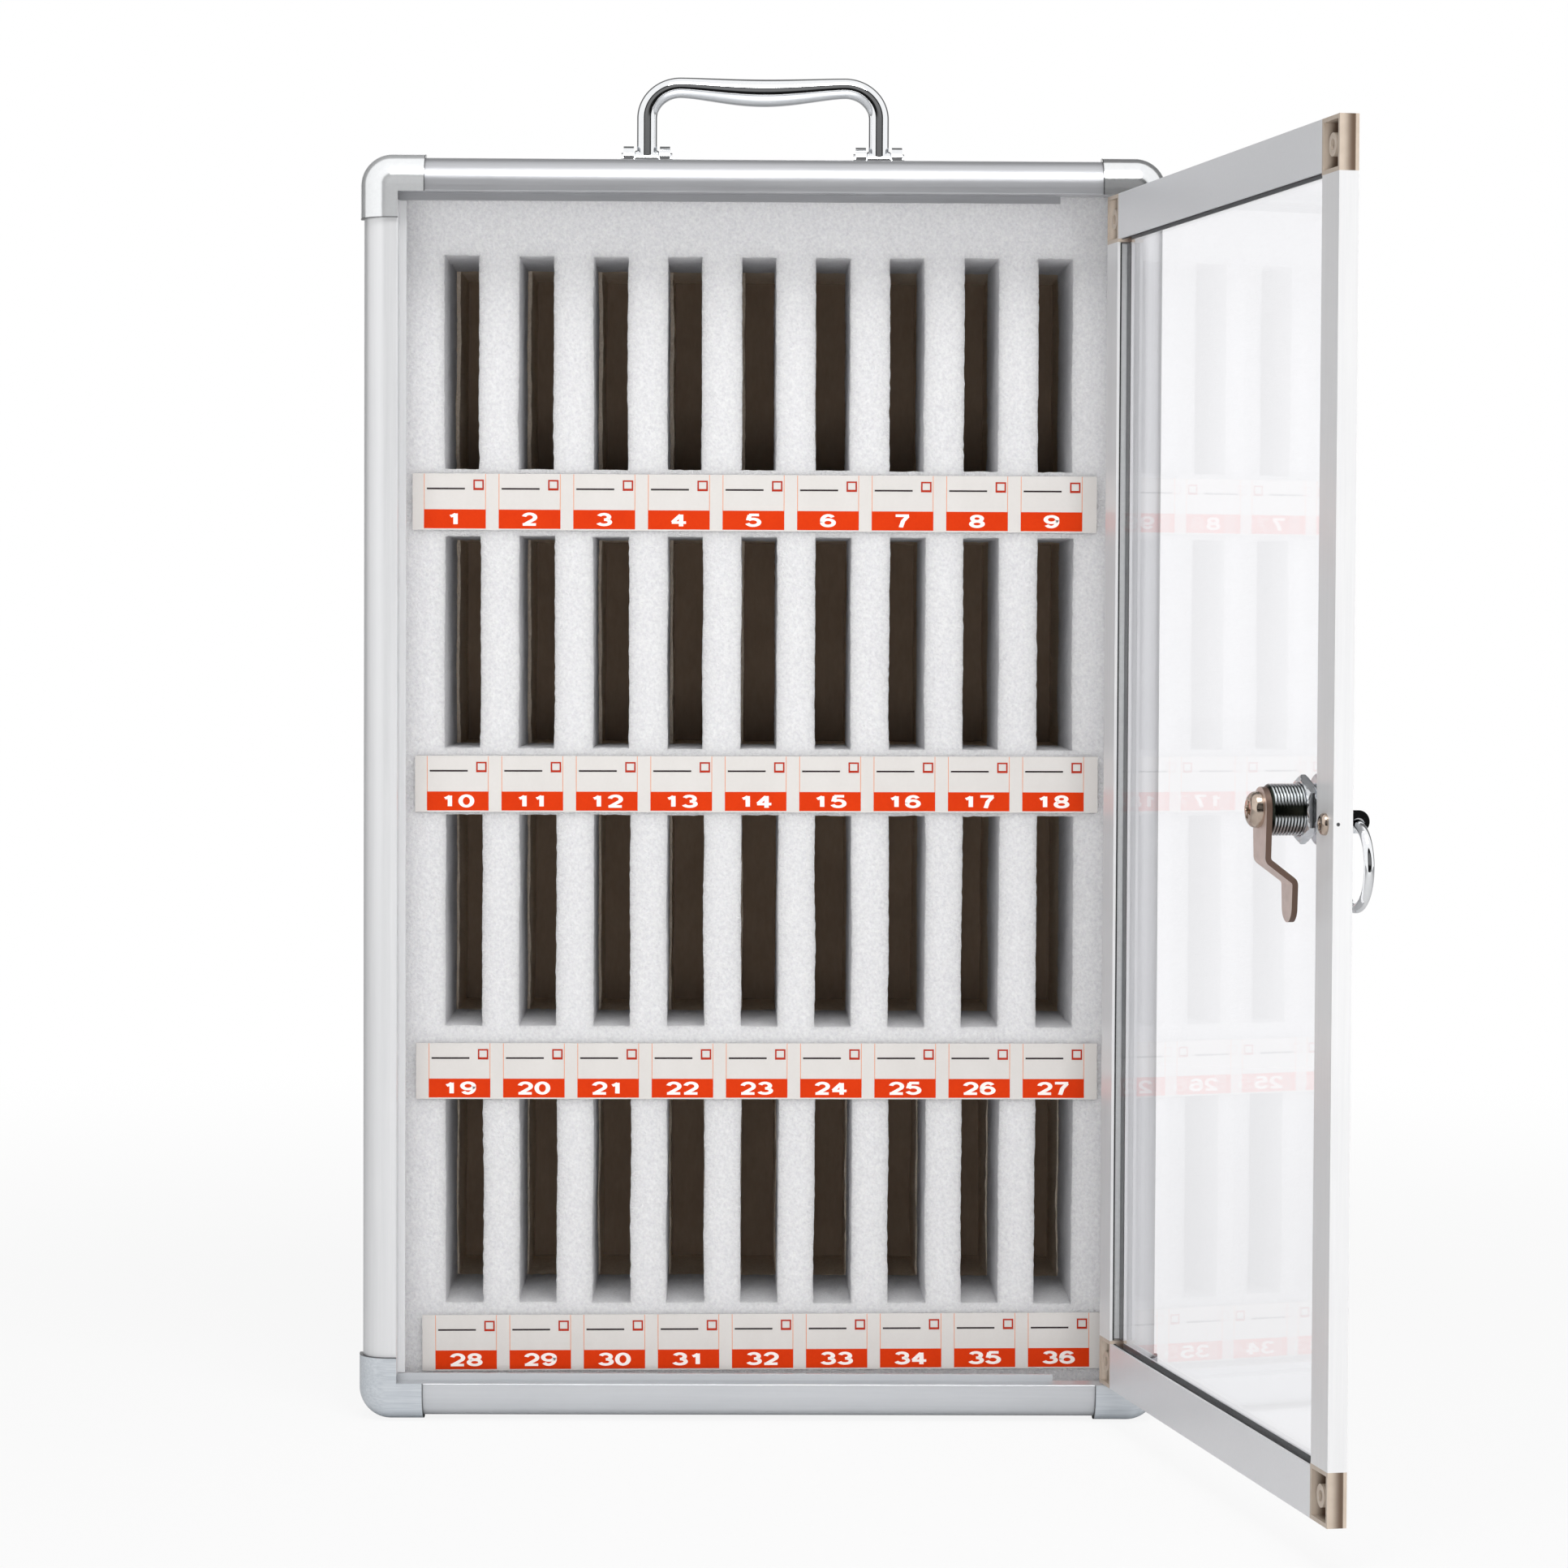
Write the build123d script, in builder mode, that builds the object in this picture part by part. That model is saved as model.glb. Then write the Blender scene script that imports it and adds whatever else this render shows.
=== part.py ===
"""Cell phone locker box: an aluminium-framed case with a glazed door, a cam lock and a foam insert
with 36 phone slots. Millimetres, X to the right, Y to the back, Z up, origin at the centre of the
base. The door is modelled open, turned about its hinge by door_angle."""
import os
from math import cos, radians, sin

from build123d import *

os.makedirs("parts", exist_ok=True)

# ---------------------------------------------------------------- driving dimensions

# Case, over the corner caps and without the handle
case_width = 280.0
case_height = 441.0
case_depth = 152.0

# Corner caps, pressed over the ends of the extrusions
cap_wall = 1.15
cap_fit = 0.05
cap_reach = 22.7

# Frame extrusions
edge_radius = 10.0
skin = 1.3
leg_length = 16.0
face_width = 12.4
stop_depth = 8.5
stop_height = 2.4
groove_floor = 8.2
lip_radius = 0.6
rail_setback = 11.5
slit = 0.3
stop_cutback = 23.5

# Panels and what stands behind the door
panel_thickness = 3.8
panel_play = 0.1
panel_end_play = 0.3
board_thickness = 2.0

# Foam insert
foam_setback = 26.0
foam_front_thickness = 66.0
foam_clearance = 0.3
slot_widths = (12.1, 12.6, 13.0, 13.3)
slot_shifts = (-1.45, -0.95, -0.5, -0.1)
rear_slot_width = 12.3
slot_height = 74.8
slot_columns = 9
slot_rows = 4
slot_pitch_x = 26.1
slot_pitch_z = 98.2
foam_centre_z = 222.8

# Label strips, one under each row of slots
label_length = 241.0
label_height = 19.8
label_thickness = 0.4
label_shifts = (-2.6, -1.6, -1.1, 1.3)
label_drops = (48.9, 49.8, 53.2, 51.2)
label_tilts = (0.0, 0.14, 0.14, 0.37)

# Door
door_angle = 100.5
door_gap = 0.4
door_thickness = 6.0
door_front_gap = 0.5
stile_width = 15.5
door_wall = 1.0
tube_width = 8.6
tube_corner = 1.0
block_size = 16.0
block_height = 16.5
block_wall = 1.3
block_floor = 1.5
block_ring_diameter = 7.0
block_ring_bore = 3.4
block_ring_sink = 0.6
tenon_length = 10.0
tenon_fit = 0.1
hinge_edge = 3.7
edge_round = 2.8
pane_thickness = 3.0
pane_bite = 3.9
pane_corner_fit = 0.4
gasket_wall = 0.45
gasket_fit = 0.05
gasket_end_play = 0.3
gasket_bite = 4.7
gasket_lip = 1.3

# Door pivots
pivot_diameter = 3.0
pivot_fit = 0.05
pivot_reach = 9.0
pivot_end_play = 0.3
pivot_head_diameter = 4.0
pivot_head_height = 1.2
pivot_boss_diameter = 5.6
pivot_washer_diameter = 6.0
pivot_washer_thickness = 0.4

# Cam lock
lock_inset = 28.0
lock_height = 209.9
lock_barrel_diameter = 15.6
lock_barrel_flats = 13.6
lock_barrel_length = 13.0
lock_hole_fit = 0.3
lock_flange_diameter = 20.0
lock_flange_thickness = 2.0
lock_flange_taper = 20.0
lock_plug_diameter = 11.4
lock_plug_fit = 0.05
keyway_length = 7.0
keyway_width = 1.6
keyway_depth = 6.0
nut_across_flats = 18.0
nut_thickness = 3.2
nut_fit = 0.1
nut_turn = 30.0
drive_square = 6.5
drive_fit = 0.1
cam_gap = 0.2
cam_thickness = 1.8
cam_length = 33.6
cam_head_radius = 6.8
cam_tip_radius = 4.8
cam_crank = 8.6
cam_bend_start = 15.0
cam_bend_run = 6.4
cam_bend_radius = 2.0
cam_washer_diameter = 10.4
cam_washer_thickness = 0.6
cam_screw_diameter = 4.0
cam_screw_length = 8.0
cam_screw_head_diameter = 11.0
cam_screw_head_height = 3.2
cam_screw_crown = 2.5

# Ring pull
ring_inset = 7.45
ring_height = 206.4
ring_outer_diameter = 27.8
ring_wire = 3.0
eye_diameter = 6.8
eye_length = 5.0
eye_raise = 0.8
eye_play = 0.4
eye_stem_diameter = 3.0
ring_screw_head_diameter = 6.6
ring_screw_head_height = 1.8
ring_screw_crown = 1.4
stem_fit = 0.1

# Carry handle
handle_span = 84.0
handle_rise = 26.8
handle_rod = 7.4
handle_grip = 9.9
handle_bend = 10.5
grip_drop = 1.8
grip_shoulder = 9.0
grip_shoulder_drop = 1.1
handle_knuckle = 8.2
handle_knuckle_play = 0.3
handle_pin_diameter = 4.0
handle_pin_fit = 0.05
handle_pin_head_diameter = 6.4
handle_pin_head_height = 0.8
bracket_width = 16.8
bracket_length = 26.0
bracket_corner = 3.0
bracket_plate = 1.5
bracket_ear = 3.7
bracket_ear_radius = 5.6
bracket_pin_height = 7.6
rivet_span = 19.0
rivet_diameter = 3.0
rivet_fit = 0.1
rivet_head_diameter = 5.6
rivet_head_height = 1.5
rivet_head_taper = 25.0
rivet_tail_diameter = 3.4
rivet_tail_height = 0.8

# ---------------------------------------------------------------- derived places

# The box over the extrusions, inside the caps
cap_offset = cap_wall + cap_fit
frame_width = case_width - 2 * cap_offset
frame_height = case_height - 2 * cap_offset
frame_depth = case_depth - 2 * cap_offset
frame_side = frame_width / 2
frame_front = frame_depth / 2
frame_bottom = cap_offset
frame_top = frame_bottom + frame_height
mid_height = case_height / 2

groove_width = panel_thickness + 2 * panel_play
leg_thickness = 2 * skin + groove_width
panel_inset = skin + panel_play
panel_edge = groove_floor + panel_end_play
post_setback = face_width + stop_height + slit
panel_top = frame_top - panel_inset

foam_height = frame_height - 2 * (leg_thickness + foam_clearance)
foam_width = frame_width - 2 * (leg_thickness + foam_clearance)
board_front = frame_depth - leg_thickness - board_thickness
foam_rear_front = foam_setback + foam_front_thickness + foam_clearance
foam_rear_thickness = board_front - foam_clearance - foam_rear_front

opening_width = frame_width - 2 * face_width
opening_height = frame_height - 2 * face_width
door_width = opening_width - 2 * door_gap
door_height = opening_height - 2 * door_gap
door_bottom = frame_bottom + face_width + door_gap
hinge_x = opening_width / 2 - door_gap - hinge_edge
hinge_y = -frame_front + door_front_gap + door_thickness / 2
lock_edge = door_width - hinge_edge
half_door = door_thickness / 2
half_pane = pane_thickness / 2
door_groove = pane_thickness + 2 * (gasket_wall + gasket_fit)
tube_middle = door_wall + tube_width / 2
lock_along = lock_edge - lock_inset
ring_along = lock_edge - ring_inset
barrel_end = half_pane + lock_barrel_length
cam_front = barrel_end + cam_gap

# Door planes. Along the door they count from the hinge axis, upwards from the door's bottom edge,
# and across from the middle of its thickness, positive towards the inside of the case.
door_along = (-cos(radians(door_angle)), -sin(radians(door_angle)), 0)
door_inward = (-sin(radians(door_angle)), cos(radians(door_angle)), 0)
door_origin = (hinge_x, hinge_y, door_bottom)
door_plane = Plane(origin=door_origin, x_dir=door_along, z_dir=door_inward)


def from_front(depth):
    """A plane facing the front, this far behind the front of the frame."""
    return Plane.XZ.offset(frame_front - depth)


def across_door(along, height):
    """A plane square to the door's length, with x towards the inside and y downwards."""
    centre = door_plane.from_local_coords((along, height, 0))
    return Plane(origin=centre, x_dir=door_inward, z_dir=door_along)


def level_with_door(height):
    """A level plane on the hinge axis, with x along the door and y towards the outside."""
    centre = door_plane.from_local_coords((0, height, 0))
    return Plane(origin=centre, x_dir=door_along, z_dir=(0, 0, 1))


def save(piece, name):
    """Labels a finished piece and writes its file."""
    piece.part.label = name
    export_step(piece.part, f"parts/{name}.step")


# ---------------------------------------------------------------- extrusion profiles

# In a profile, x and y count inwards from the outer corner of the extrusion


def corner_chamber(x_limit, y_limit):
    """The hollow behind the rounded corner of a profile."""
    with BuildSketch() as chamber:
        with Locations((skin, skin)):
            Rectangle(2 * edge_radius, 2 * edge_radius, align=Align.MIN)
        corner = chamber.vertices().sort_by_distance((0, 0, 0))[0]
        fillet(corner, edge_radius - skin)
        Rectangle(x_limit, y_limit, align=Align.MIN, mode=Mode.INTERSECT)
    return chamber.sketch


def front_profile(has_stop):
    """Section of the door frame: y runs back from its front face."""
    with BuildSketch() as profile:
        Rectangle(face_width, stop_depth, align=Align.MIN)
        Rectangle(leg_thickness, leg_length, align=Align.MIN)
        if has_stop:
            with Locations((face_width, stop_depth - skin)):
                Rectangle(stop_height, skin, align=Align.MIN)
        outer = profile.vertices().sort_by_distance((0, 0, 0))[0]
        fillet(outer, edge_radius)
        lip = profile.vertices().sort_by_distance((face_width, 0, 0))[0]
        fillet(lip, lip_radius)
        add(corner_chamber(face_width - skin, stop_depth - skin), mode=Mode.SUBTRACT)
        with Locations((skin, stop_depth)):
            Rectangle(groove_width, leg_length, align=Align.MIN, mode=Mode.SUBTRACT)
    return profile.sketch


def edge_profile():
    """Section of the rear frame and of the edges that run from front to back."""
    with BuildSketch() as profile:
        Rectangle(leg_length, leg_thickness, align=Align.MIN)
        Rectangle(leg_thickness, leg_length, align=Align.MIN)
        outer = profile.vertices().sort_by_distance((0, 0, 0))[0]
        fillet(outer, edge_radius)
        add(corner_chamber(leg_thickness - skin, leg_thickness - skin), mode=Mode.SUBTRACT)
        with Locations((skin, groove_floor)):
            Rectangle(groove_width, leg_length, align=Align.MIN, mode=Mode.SUBTRACT)
        with Locations((groove_floor, skin)):
            Rectangle(leg_length, groove_width, align=Align.MIN, mode=Mode.SUBTRACT)
    return profile.sketch


def extrusion(name, profile, middle, inward_x, inward_y, length):
    """A straight length of a profile about its middle, its legs along two inward directions."""
    run = Vector(*inward_x).cross(Vector(*inward_y))
    with BuildPart() as member:
        with BuildSketch(Plane(origin=middle, x_dir=inward_x, z_dir=run)):
            add(profile)
        extrude(amount=length / 2, both=True)
    save(member, name)


# ---------------------------------------------------------------- case frame

sides = {"left": -1, "right": 1}
levels = {"bottom": -1, "top": 1}
ends = {"front": -1, "rear": 1}

front_post_length = frame_height - 2 * post_setback
rear_post_length = frame_height - 2 * leg_length
rail_length = frame_width - 2 * rail_setback
depth_edge_length = frame_depth - 2 * leg_length

for side, sx in sides.items():
    corner_x = sx * frame_side
    extrusion(
        f"front_post_{side}",
        front_profile(has_stop=side == "left"),
        (corner_x, -frame_front, mid_height),
        (-sx, 0, 0),
        (0, 1, 0),
        front_post_length,
    )
    extrusion(
        f"rear_post_{side}",
        edge_profile(),
        (corner_x, frame_front, mid_height),
        (-sx, 0, 0),
        (0, -1, 0),
        rear_post_length,
    )
    for level, sz in levels.items():
        extrusion(
            f"depth_edge_{side}_{level}",
            edge_profile(),
            (corner_x, 0, mid_height + sz * frame_height / 2),
            (-sx, 0, 0),
            (0, 0, -sz),
            depth_edge_length,
        )

for level, sz in levels.items():
    corner_z = mid_height + sz * frame_height / 2
    extrusion(
        f"rear_rail_{level}",
        edge_profile(),
        (0, frame_front, corner_z),
        (0, 0, -sz),
        (0, -1, 0),
        rail_length,
    )

# The front rails carry the door's pivots, and their door stop is cut back there
for level, sz in levels.items():
    corner_z = mid_height + sz * frame_height / 2
    stop_z = corner_z - sz * (face_width + stop_height / 2)
    wall_z = corner_z - sz * (face_width - skin / 2)
    stop_end = opening_width / 2 - stop_cutback
    with BuildPart() as rail:
        with BuildSketch(Plane(origin=(0, -frame_front, corner_z), x_dir=(0, 0, -sz), z_dir=(sz, 0, 0))):
            add(front_profile(has_stop=True))
        extrude(amount=rail_length / 2, both=True)
        with BuildSketch(from_front(0)):
            with Locations((stop_end, stop_z)):
                Rectangle(frame_side, stop_height, align=(Align.MIN, Align.CENTER))
        extrude(amount=-leg_length, mode=Mode.SUBTRACT)
        with BuildSketch(Plane.XY.offset(wall_z)):
            with Locations((hinge_x, hinge_y)):
                Circle(pivot_diameter / 2 + pivot_fit)
        extrude(amount=skin, both=True, mode=Mode.SUBTRACT)
    save(rail, f"front_rail_{level}")


# ---------------------------------------------------------------- corner caps


def rounded_corner(corner, radius):
    """A cube with one corner at a point, and the three edges that meet there rounded."""
    with BuildPart() as solid:
        with Locations(corner):
            Box(cap_reach, cap_reach, cap_reach, align=Align.MIN)
        fillet(solid.edges().sort_by_distance(corner)[:3], radius)
    return solid.part


def corner_cap(name, sx, sy, sz):
    """A three-way cap: a rounded shell over one corner, cut to a narrow leg along each edge."""
    leg_face = face_width + cap_offset
    outer_corner = Vector(-case_width / 2, -case_depth / 2, 0)
    inner_corner = outer_corner + Vector(cap_wall, cap_wall, cap_wall)
    with BuildPart() as cap:
        add(rounded_corner(outer_corner, edge_radius + cap_offset))
        add(rounded_corner(inner_corner, edge_radius + cap_fit), mode=Mode.SUBTRACT)
        between_legs = [
            outer_corner + Vector(leg_face, leg_face, 0),
            outer_corner + Vector(leg_face, 0, leg_face),
            outer_corner + Vector(0, leg_face, leg_face),
        ]
        with Locations(*between_legs):
            Box(cap_reach, cap_reach, cap_reach, align=Align.MIN, mode=Mode.SUBTRACT)
        if sx > 0:
            mirror(about=Plane.YZ, mode=Mode.REPLACE)
        if sy > 0:
            mirror(about=Plane.XZ, mode=Mode.REPLACE)
        if sz > 0:
            mirror(about=Plane.XY.offset(mid_height), mode=Mode.REPLACE)
    save(cap, name)


for end, sy in ends.items():
    for side, sx in sides.items():
        for level, sz in levels.items():
            corner_cap(f"corner_cap_{end}_{side}_{level}", sx, sy, sz)

# ---------------------------------------------------------------- panels

panel_front = stop_depth + panel_end_play
panel_run = frame_depth - panel_front - panel_edge
panel_middle_y = -frame_front + panel_front + panel_run / 2
panel_width = frame_width - 2 * panel_edge
panel_height = frame_height - 2 * panel_edge
handle_places = [(-handle_span / 2, 0), (handle_span / 2, 0)]
rivet_places = [(x, y) for x, _ in handle_places for y in (-rivet_span / 2, rivet_span / 2)]

for side, sx in sides.items():
    with BuildPart() as side_panel:
        with BuildSketch(Plane.YZ.offset(sx * (frame_side - panel_inset))):
            with Locations((panel_middle_y, mid_height)):
                Rectangle(panel_run, panel_height)
        extrude(amount=-sx * panel_thickness)
    save(side_panel, f"side_panel_{side}")

with BuildPart() as bottom_panel:
    with BuildSketch(Plane.XY.offset(frame_bottom + panel_inset)):
        with Locations((0, panel_middle_y)):
            Rectangle(panel_width, panel_run)
    extrude(amount=panel_thickness)
save(bottom_panel, "bottom_panel")

with BuildPart() as top_panel:
    with BuildSketch(Plane.XY.offset(panel_top)):
        with Locations((0, panel_middle_y)):
            Rectangle(panel_width, panel_run)
        with Locations(*rivet_places):
            Circle(rivet_diameter / 2 + rivet_fit, mode=Mode.SUBTRACT)
    extrude(amount=-panel_thickness)
save(top_panel, "top_panel")

with BuildPart() as back_panel:
    with BuildSketch(from_front(frame_depth - panel_inset)):
        with Locations((0, mid_height)):
            Rectangle(panel_width, panel_height)
    extrude(amount=panel_thickness)
save(back_panel, "back_panel")

# ---------------------------------------------------------------- foam insert and labels

with BuildPart() as backing_board:
    with BuildSketch(from_front(board_front)):
        with Locations((0, mid_height)):
            Rectangle(foam_width, foam_height)
    extrude(amount=-board_thickness)
save(backing_board, "backing_board")


row_heights = [foam_centre_z + slot_pitch_z * ((slot_rows - 1) / 2 - row) for row in range(slot_rows)]


def foam_layer(name, depth, thickness, widths, shifts, is_sawn=False):
    """A sheet of foam with each row's slots cut through it, whole or sawn into one slab per row."""
    with BuildPart() as layer:
        with BuildSketch(from_front(depth)):
            with Locations((0, mid_height)):
                Rectangle(foam_width, foam_height)
            for row_z, width, shift in zip(row_heights, widths, shifts):
                with Locations((shift, row_z)):
                    with GridLocations(slot_pitch_x, slot_pitch_z, slot_columns, 1):
                        Rectangle(width, slot_height, mode=Mode.SUBTRACT)
            if is_sawn:
                with Locations((0, foam_centre_z)):
                    with GridLocations(slot_pitch_x, slot_pitch_z, 1, slot_rows - 1):
                        Rectangle(foam_width, foam_clearance, mode=Mode.SUBTRACT)
        extrude(amount=-thickness)
    save(layer, name)


# The rear layer's slots are cut on the middle of the case, the front layer's by hand a little off it
rear_widths = (rear_slot_width,) * slot_rows
rear_shifts = (0.0,) * slot_rows
foam_layer("foam_front", foam_setback, foam_front_thickness, slot_widths, slot_shifts)
foam_layer("foam_rear", foam_rear_front, foam_rear_thickness, rear_widths, rear_shifts, is_sawn=True)

label_places = zip(row_heights, label_shifts, label_drops, label_tilts)
for row, (row_z, shift, drop, tilt) in enumerate(label_places):
    with BuildPart() as label_strip:
        with BuildSketch(from_front(foam_setback)):
            with Locations((shift, row_z - drop)):
                Rectangle(label_length, label_height, rotation=tilt)
        extrude(amount=label_thickness)
    save(label_strip, f"label_strip_{row + 1}")

# ---------------------------------------------------------------- door frame


def door_section(edge_rounding):
    """Section of a door member: x inwards from its outer edge, y across the door."""
    with BuildSketch() as section:
        Rectangle(stile_width, door_thickness, align=(Align.MIN, Align.CENTER))
        if edge_rounding > 0:
            fillet(section.vertices().group_by(Axis.X)[0], edge_rounding)
        with Locations((tube_middle, 0)):
            RectangleRounded(tube_width, door_groove, tube_corner, mode=Mode.SUBTRACT)
        with Locations((2 * door_wall + tube_width, 0)):
            inwards = (Align.MIN, Align.CENTER)
            Rectangle(stile_width, door_groove, align=inwards, mode=Mode.SUBTRACT)
    return section.sketch


def door_member(along, height, inward, run, length, edge_rounding=0.0):
    """A straight door member that starts at a point of the door's outer edge."""
    start = door_plane.from_local_coords((along, height, 0))
    with BuildPart() as member:
        with BuildSketch(Plane(origin=start, x_dir=inward, z_dir=run)):
            add(door_section(edge_rounding))
        extrude(amount=length)
    return member.part


door_back = tuple(-part for part in door_along)
up = (0, 0, 1)
down = (0, 0, -1)
stile_length = door_height - 2 * block_height
door_rail_length = door_width - 2 * block_size
rail_start = block_size - hinge_edge

with BuildPart() as hinge_stile:
    add(door_member(-hinge_edge, block_height, door_along, up, stile_length, edge_round))
save(hinge_stile, "door_stile_hinge")

with BuildPart() as bottom_rail:
    add(door_member(rail_start, 0, up, door_along, door_rail_length))
save(bottom_rail, "door_rail_bottom")

with BuildPart() as top_rail:
    add(door_member(rail_start, door_height, down, door_along, door_rail_length))
save(top_rail, "door_rail_top")

# The lock stile is drilled for the stem of the ring pull
stem_radius = eye_stem_diameter / 2
with BuildPart() as lock_stile:
    add(door_member(lock_edge, block_height, door_back, up, stile_length))
    with BuildSketch(door_plane):
        with Locations((ring_along, ring_height)):
            Circle(stem_radius + stem_fit)
    extrude(amount=door_thickness, both=True, mode=Mode.SUBTRACT)
save(lock_stile, "door_stile_lock")


def door_block(name, along, height, sx, sy):
    """A moulded corner of the door, hollow on the inside, with a tenon into each member."""
    inwards = (Align.MIN if sx > 0 else Align.MAX, Align.MIN if sy > 0 else Align.MAX)
    carries_pivot = sx > 0
    edge_wall = edge_round if carries_pivot else block_wall
    recess_width = block_size - edge_wall - block_wall
    recess_height = block_height - 2 * block_wall
    recess_middle_x = along + sx * (edge_wall + recess_width / 2)
    recess_middle_y = height + sy * block_height / 2
    tenon_width = tube_width - 2 * tenon_fit
    tenon_thickness = door_groove - 2 * tenon_fit
    rail_tenon = (along + sx * block_size, height + sy * tube_middle)
    stile_tenon = (along + sx * tube_middle, 0)
    with BuildPart() as block:
        with BuildSketch(door_plane.offset(-half_door)):
            with Locations((along, height)):
                Rectangle(block_size, block_height, align=inwards)
        extrude(amount=door_thickness)
        if carries_pivot:
            upright = block.edges().filter_by(Axis.Z).sort_by(Axis(door_origin, door_along))
            fillet(upright[:2], edge_round)
        with BuildSketch(door_plane.offset(block_floor - half_door)):
            with Locations((recess_middle_x, recess_middle_y)):
                Rectangle(recess_width, recess_height)
        extrude(amount=door_thickness, mode=Mode.SUBTRACT)
        with BuildSketch(door_plane.offset(block_floor - half_door)):
            with Locations((recess_middle_x, recess_middle_y)):
                Circle(block_ring_diameter / 2)
                Circle(block_ring_bore / 2, mode=Mode.SUBTRACT)
        extrude(amount=door_thickness - block_floor - block_ring_sink)
        with BuildSketch(across_door(*rail_tenon)):
            RectangleRounded(tenon_thickness, tenon_width, tube_corner)
        extrude(amount=sx * tenon_length)
        with BuildSketch(level_with_door(height + sy * block_height)):
            with Locations(stile_tenon):
                RectangleRounded(tenon_width, tenon_thickness, tube_corner)
        extrude(amount=sy * tenon_length)
        if carries_pivot:
            with BuildSketch(level_with_door(height)):
                Circle(pivot_boss_diameter / 2)
            extrude(amount=sy * block_height)
            with BuildSketch(level_with_door(height)):
                Circle(pivot_diameter / 2 + pivot_fit)
            extrude(amount=sy * (pivot_reach + pivot_end_play), mode=Mode.SUBTRACT)
    save(block, name)


door_block("door_block_hinge_bottom", -hinge_edge, 0, 1, 1)
door_block("door_block_hinge_top", -hinge_edge, door_height, 1, -1)
door_block("door_block_lock_bottom", lock_edge, 0, -1, 1)
door_block("door_block_lock_top", lock_edge, door_height, -1, -1)

# ---------------------------------------------------------------- door pane and gasket

pane_margin = stile_width - pane_bite
pane_width = door_width - 2 * pane_margin
pane_height = door_height - 2 * pane_margin
pane_middle = (lock_edge - door_width / 2, door_height / 2)
notch_width = block_size + pane_corner_fit - pane_margin
notch_height = block_height + pane_corner_fit - pane_margin

with BuildPart() as door_pane:
    with BuildSketch(door_plane):
        with Locations(pane_middle):
            Rectangle(pane_width, pane_height)
            with GridLocations(pane_width - notch_width, pane_height - notch_height, 2, 2):
                Rectangle(notch_width, notch_height, mode=Mode.SUBTRACT)
        with Locations((lock_along, lock_height)):
            Circle(lock_barrel_diameter / 2 + lock_hole_fit, mode=Mode.SUBTRACT)
    extrude(amount=half_pane, both=True)
save(door_pane, "door_pane")

with BuildSketch() as gasket_section:
    gasket_width = gasket_bite + gasket_lip
    with Locations((stile_width - gasket_bite, 0)):
        Rectangle(gasket_width, pane_thickness + 2 * gasket_wall, align=(Align.MIN, Align.CENTER))
    with Locations((pane_margin, 0)):
        inwards = (Align.MIN, Align.CENTER)
        Rectangle(gasket_width, pane_thickness, align=inwards, mode=Mode.SUBTRACT)

gasket_rail = door_rail_length - 2 * gasket_end_play
gasket_stile = stile_length - 2 * gasket_end_play
gasket_along = rail_start + gasket_end_play
gasket_up = block_height + gasket_end_play
gasket_runs = [
    ((gasket_along, 0, 0), up, door_along, gasket_rail),
    ((gasket_along, door_height, 0), down, door_along, gasket_rail),
    ((-hinge_edge, gasket_up, 0), door_along, up, gasket_stile),
    ((lock_edge, gasket_up, 0), door_back, up, gasket_stile),
]
with BuildPart() as pane_gasket:
    for start, inward, run, length in gasket_runs:
        origin = door_plane.from_local_coords(start)
        with BuildSketch(Plane(origin=origin, x_dir=inward, z_dir=run)):
            add(gasket_section.sketch)
        extrude(amount=length)
save(pane_gasket, "pane_gasket")

# ---------------------------------------------------------------- door pivots

with BuildPart() as pivot_pins:
    for sz in levels.values():
        opening_z = mid_height + sz * opening_height / 2
        with BuildSketch(Plane.XY.offset(opening_z + sz * skin)):
            with Locations((hinge_x, hinge_y)):
                Circle(pivot_head_diameter / 2)
        extrude(amount=sz * pivot_head_height)
        with BuildSketch(Plane.XY.offset(opening_z + sz * skin)):
            with Locations((hinge_x, hinge_y)):
                Circle(pivot_diameter / 2)
        extrude(amount=-sz * (skin + door_gap + pivot_reach))
save(pivot_pins, "pivot_pins")

with BuildPart() as pivot_washers:
    for sz in levels.values():
        washer_z = mid_height + sz * (opening_height - door_gap) / 2
        with BuildSketch(Plane.XY.offset(washer_z)):
            with Locations((hinge_x, hinge_y)):
                Circle(pivot_washer_diameter / 2)
                Circle(pivot_diameter / 2 + pivot_fit, mode=Mode.SUBTRACT)
        extrude(amount=pivot_washer_thickness / 2, both=True)
save(pivot_washers, "pivot_washers")

# ---------------------------------------------------------------- cam lock

lock_place = (lock_along, lock_height)
flange_front = -half_pane - lock_flange_thickness

with BuildPart() as lock_body:
    with BuildSketch(door_plane.offset(flange_front)):
        with Locations(lock_place):
            Circle(lock_flange_diameter / 2)
    extrude(amount=lock_flange_thickness, taper=-lock_flange_taper)
    with BuildSketch(door_plane.offset(-half_pane)):
        with Locations(lock_place):
            Circle(lock_barrel_diameter / 2)
            Rectangle(lock_barrel_diameter, lock_barrel_flats, mode=Mode.INTERSECT)
    extrude(amount=barrel_end + half_pane)
    with BuildSketch(door_plane.offset(flange_front)):
        with Locations(lock_place):
            Circle(lock_plug_diameter / 2 + lock_plug_fit)
    extrude(amount=barrel_end - flange_front, mode=Mode.SUBTRACT)
save(lock_body, "lock_body")

with BuildPart() as lock_nut:
    with BuildSketch(door_plane.offset(half_pane)):
        with Locations(lock_place):
            RegularPolygon(nut_across_flats / 2, 6, major_radius=False, rotation=nut_turn)
            Circle(lock_barrel_diameter / 2 + nut_fit, mode=Mode.SUBTRACT)
    extrude(amount=nut_thickness)
save(lock_nut, "lock_nut")

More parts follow.
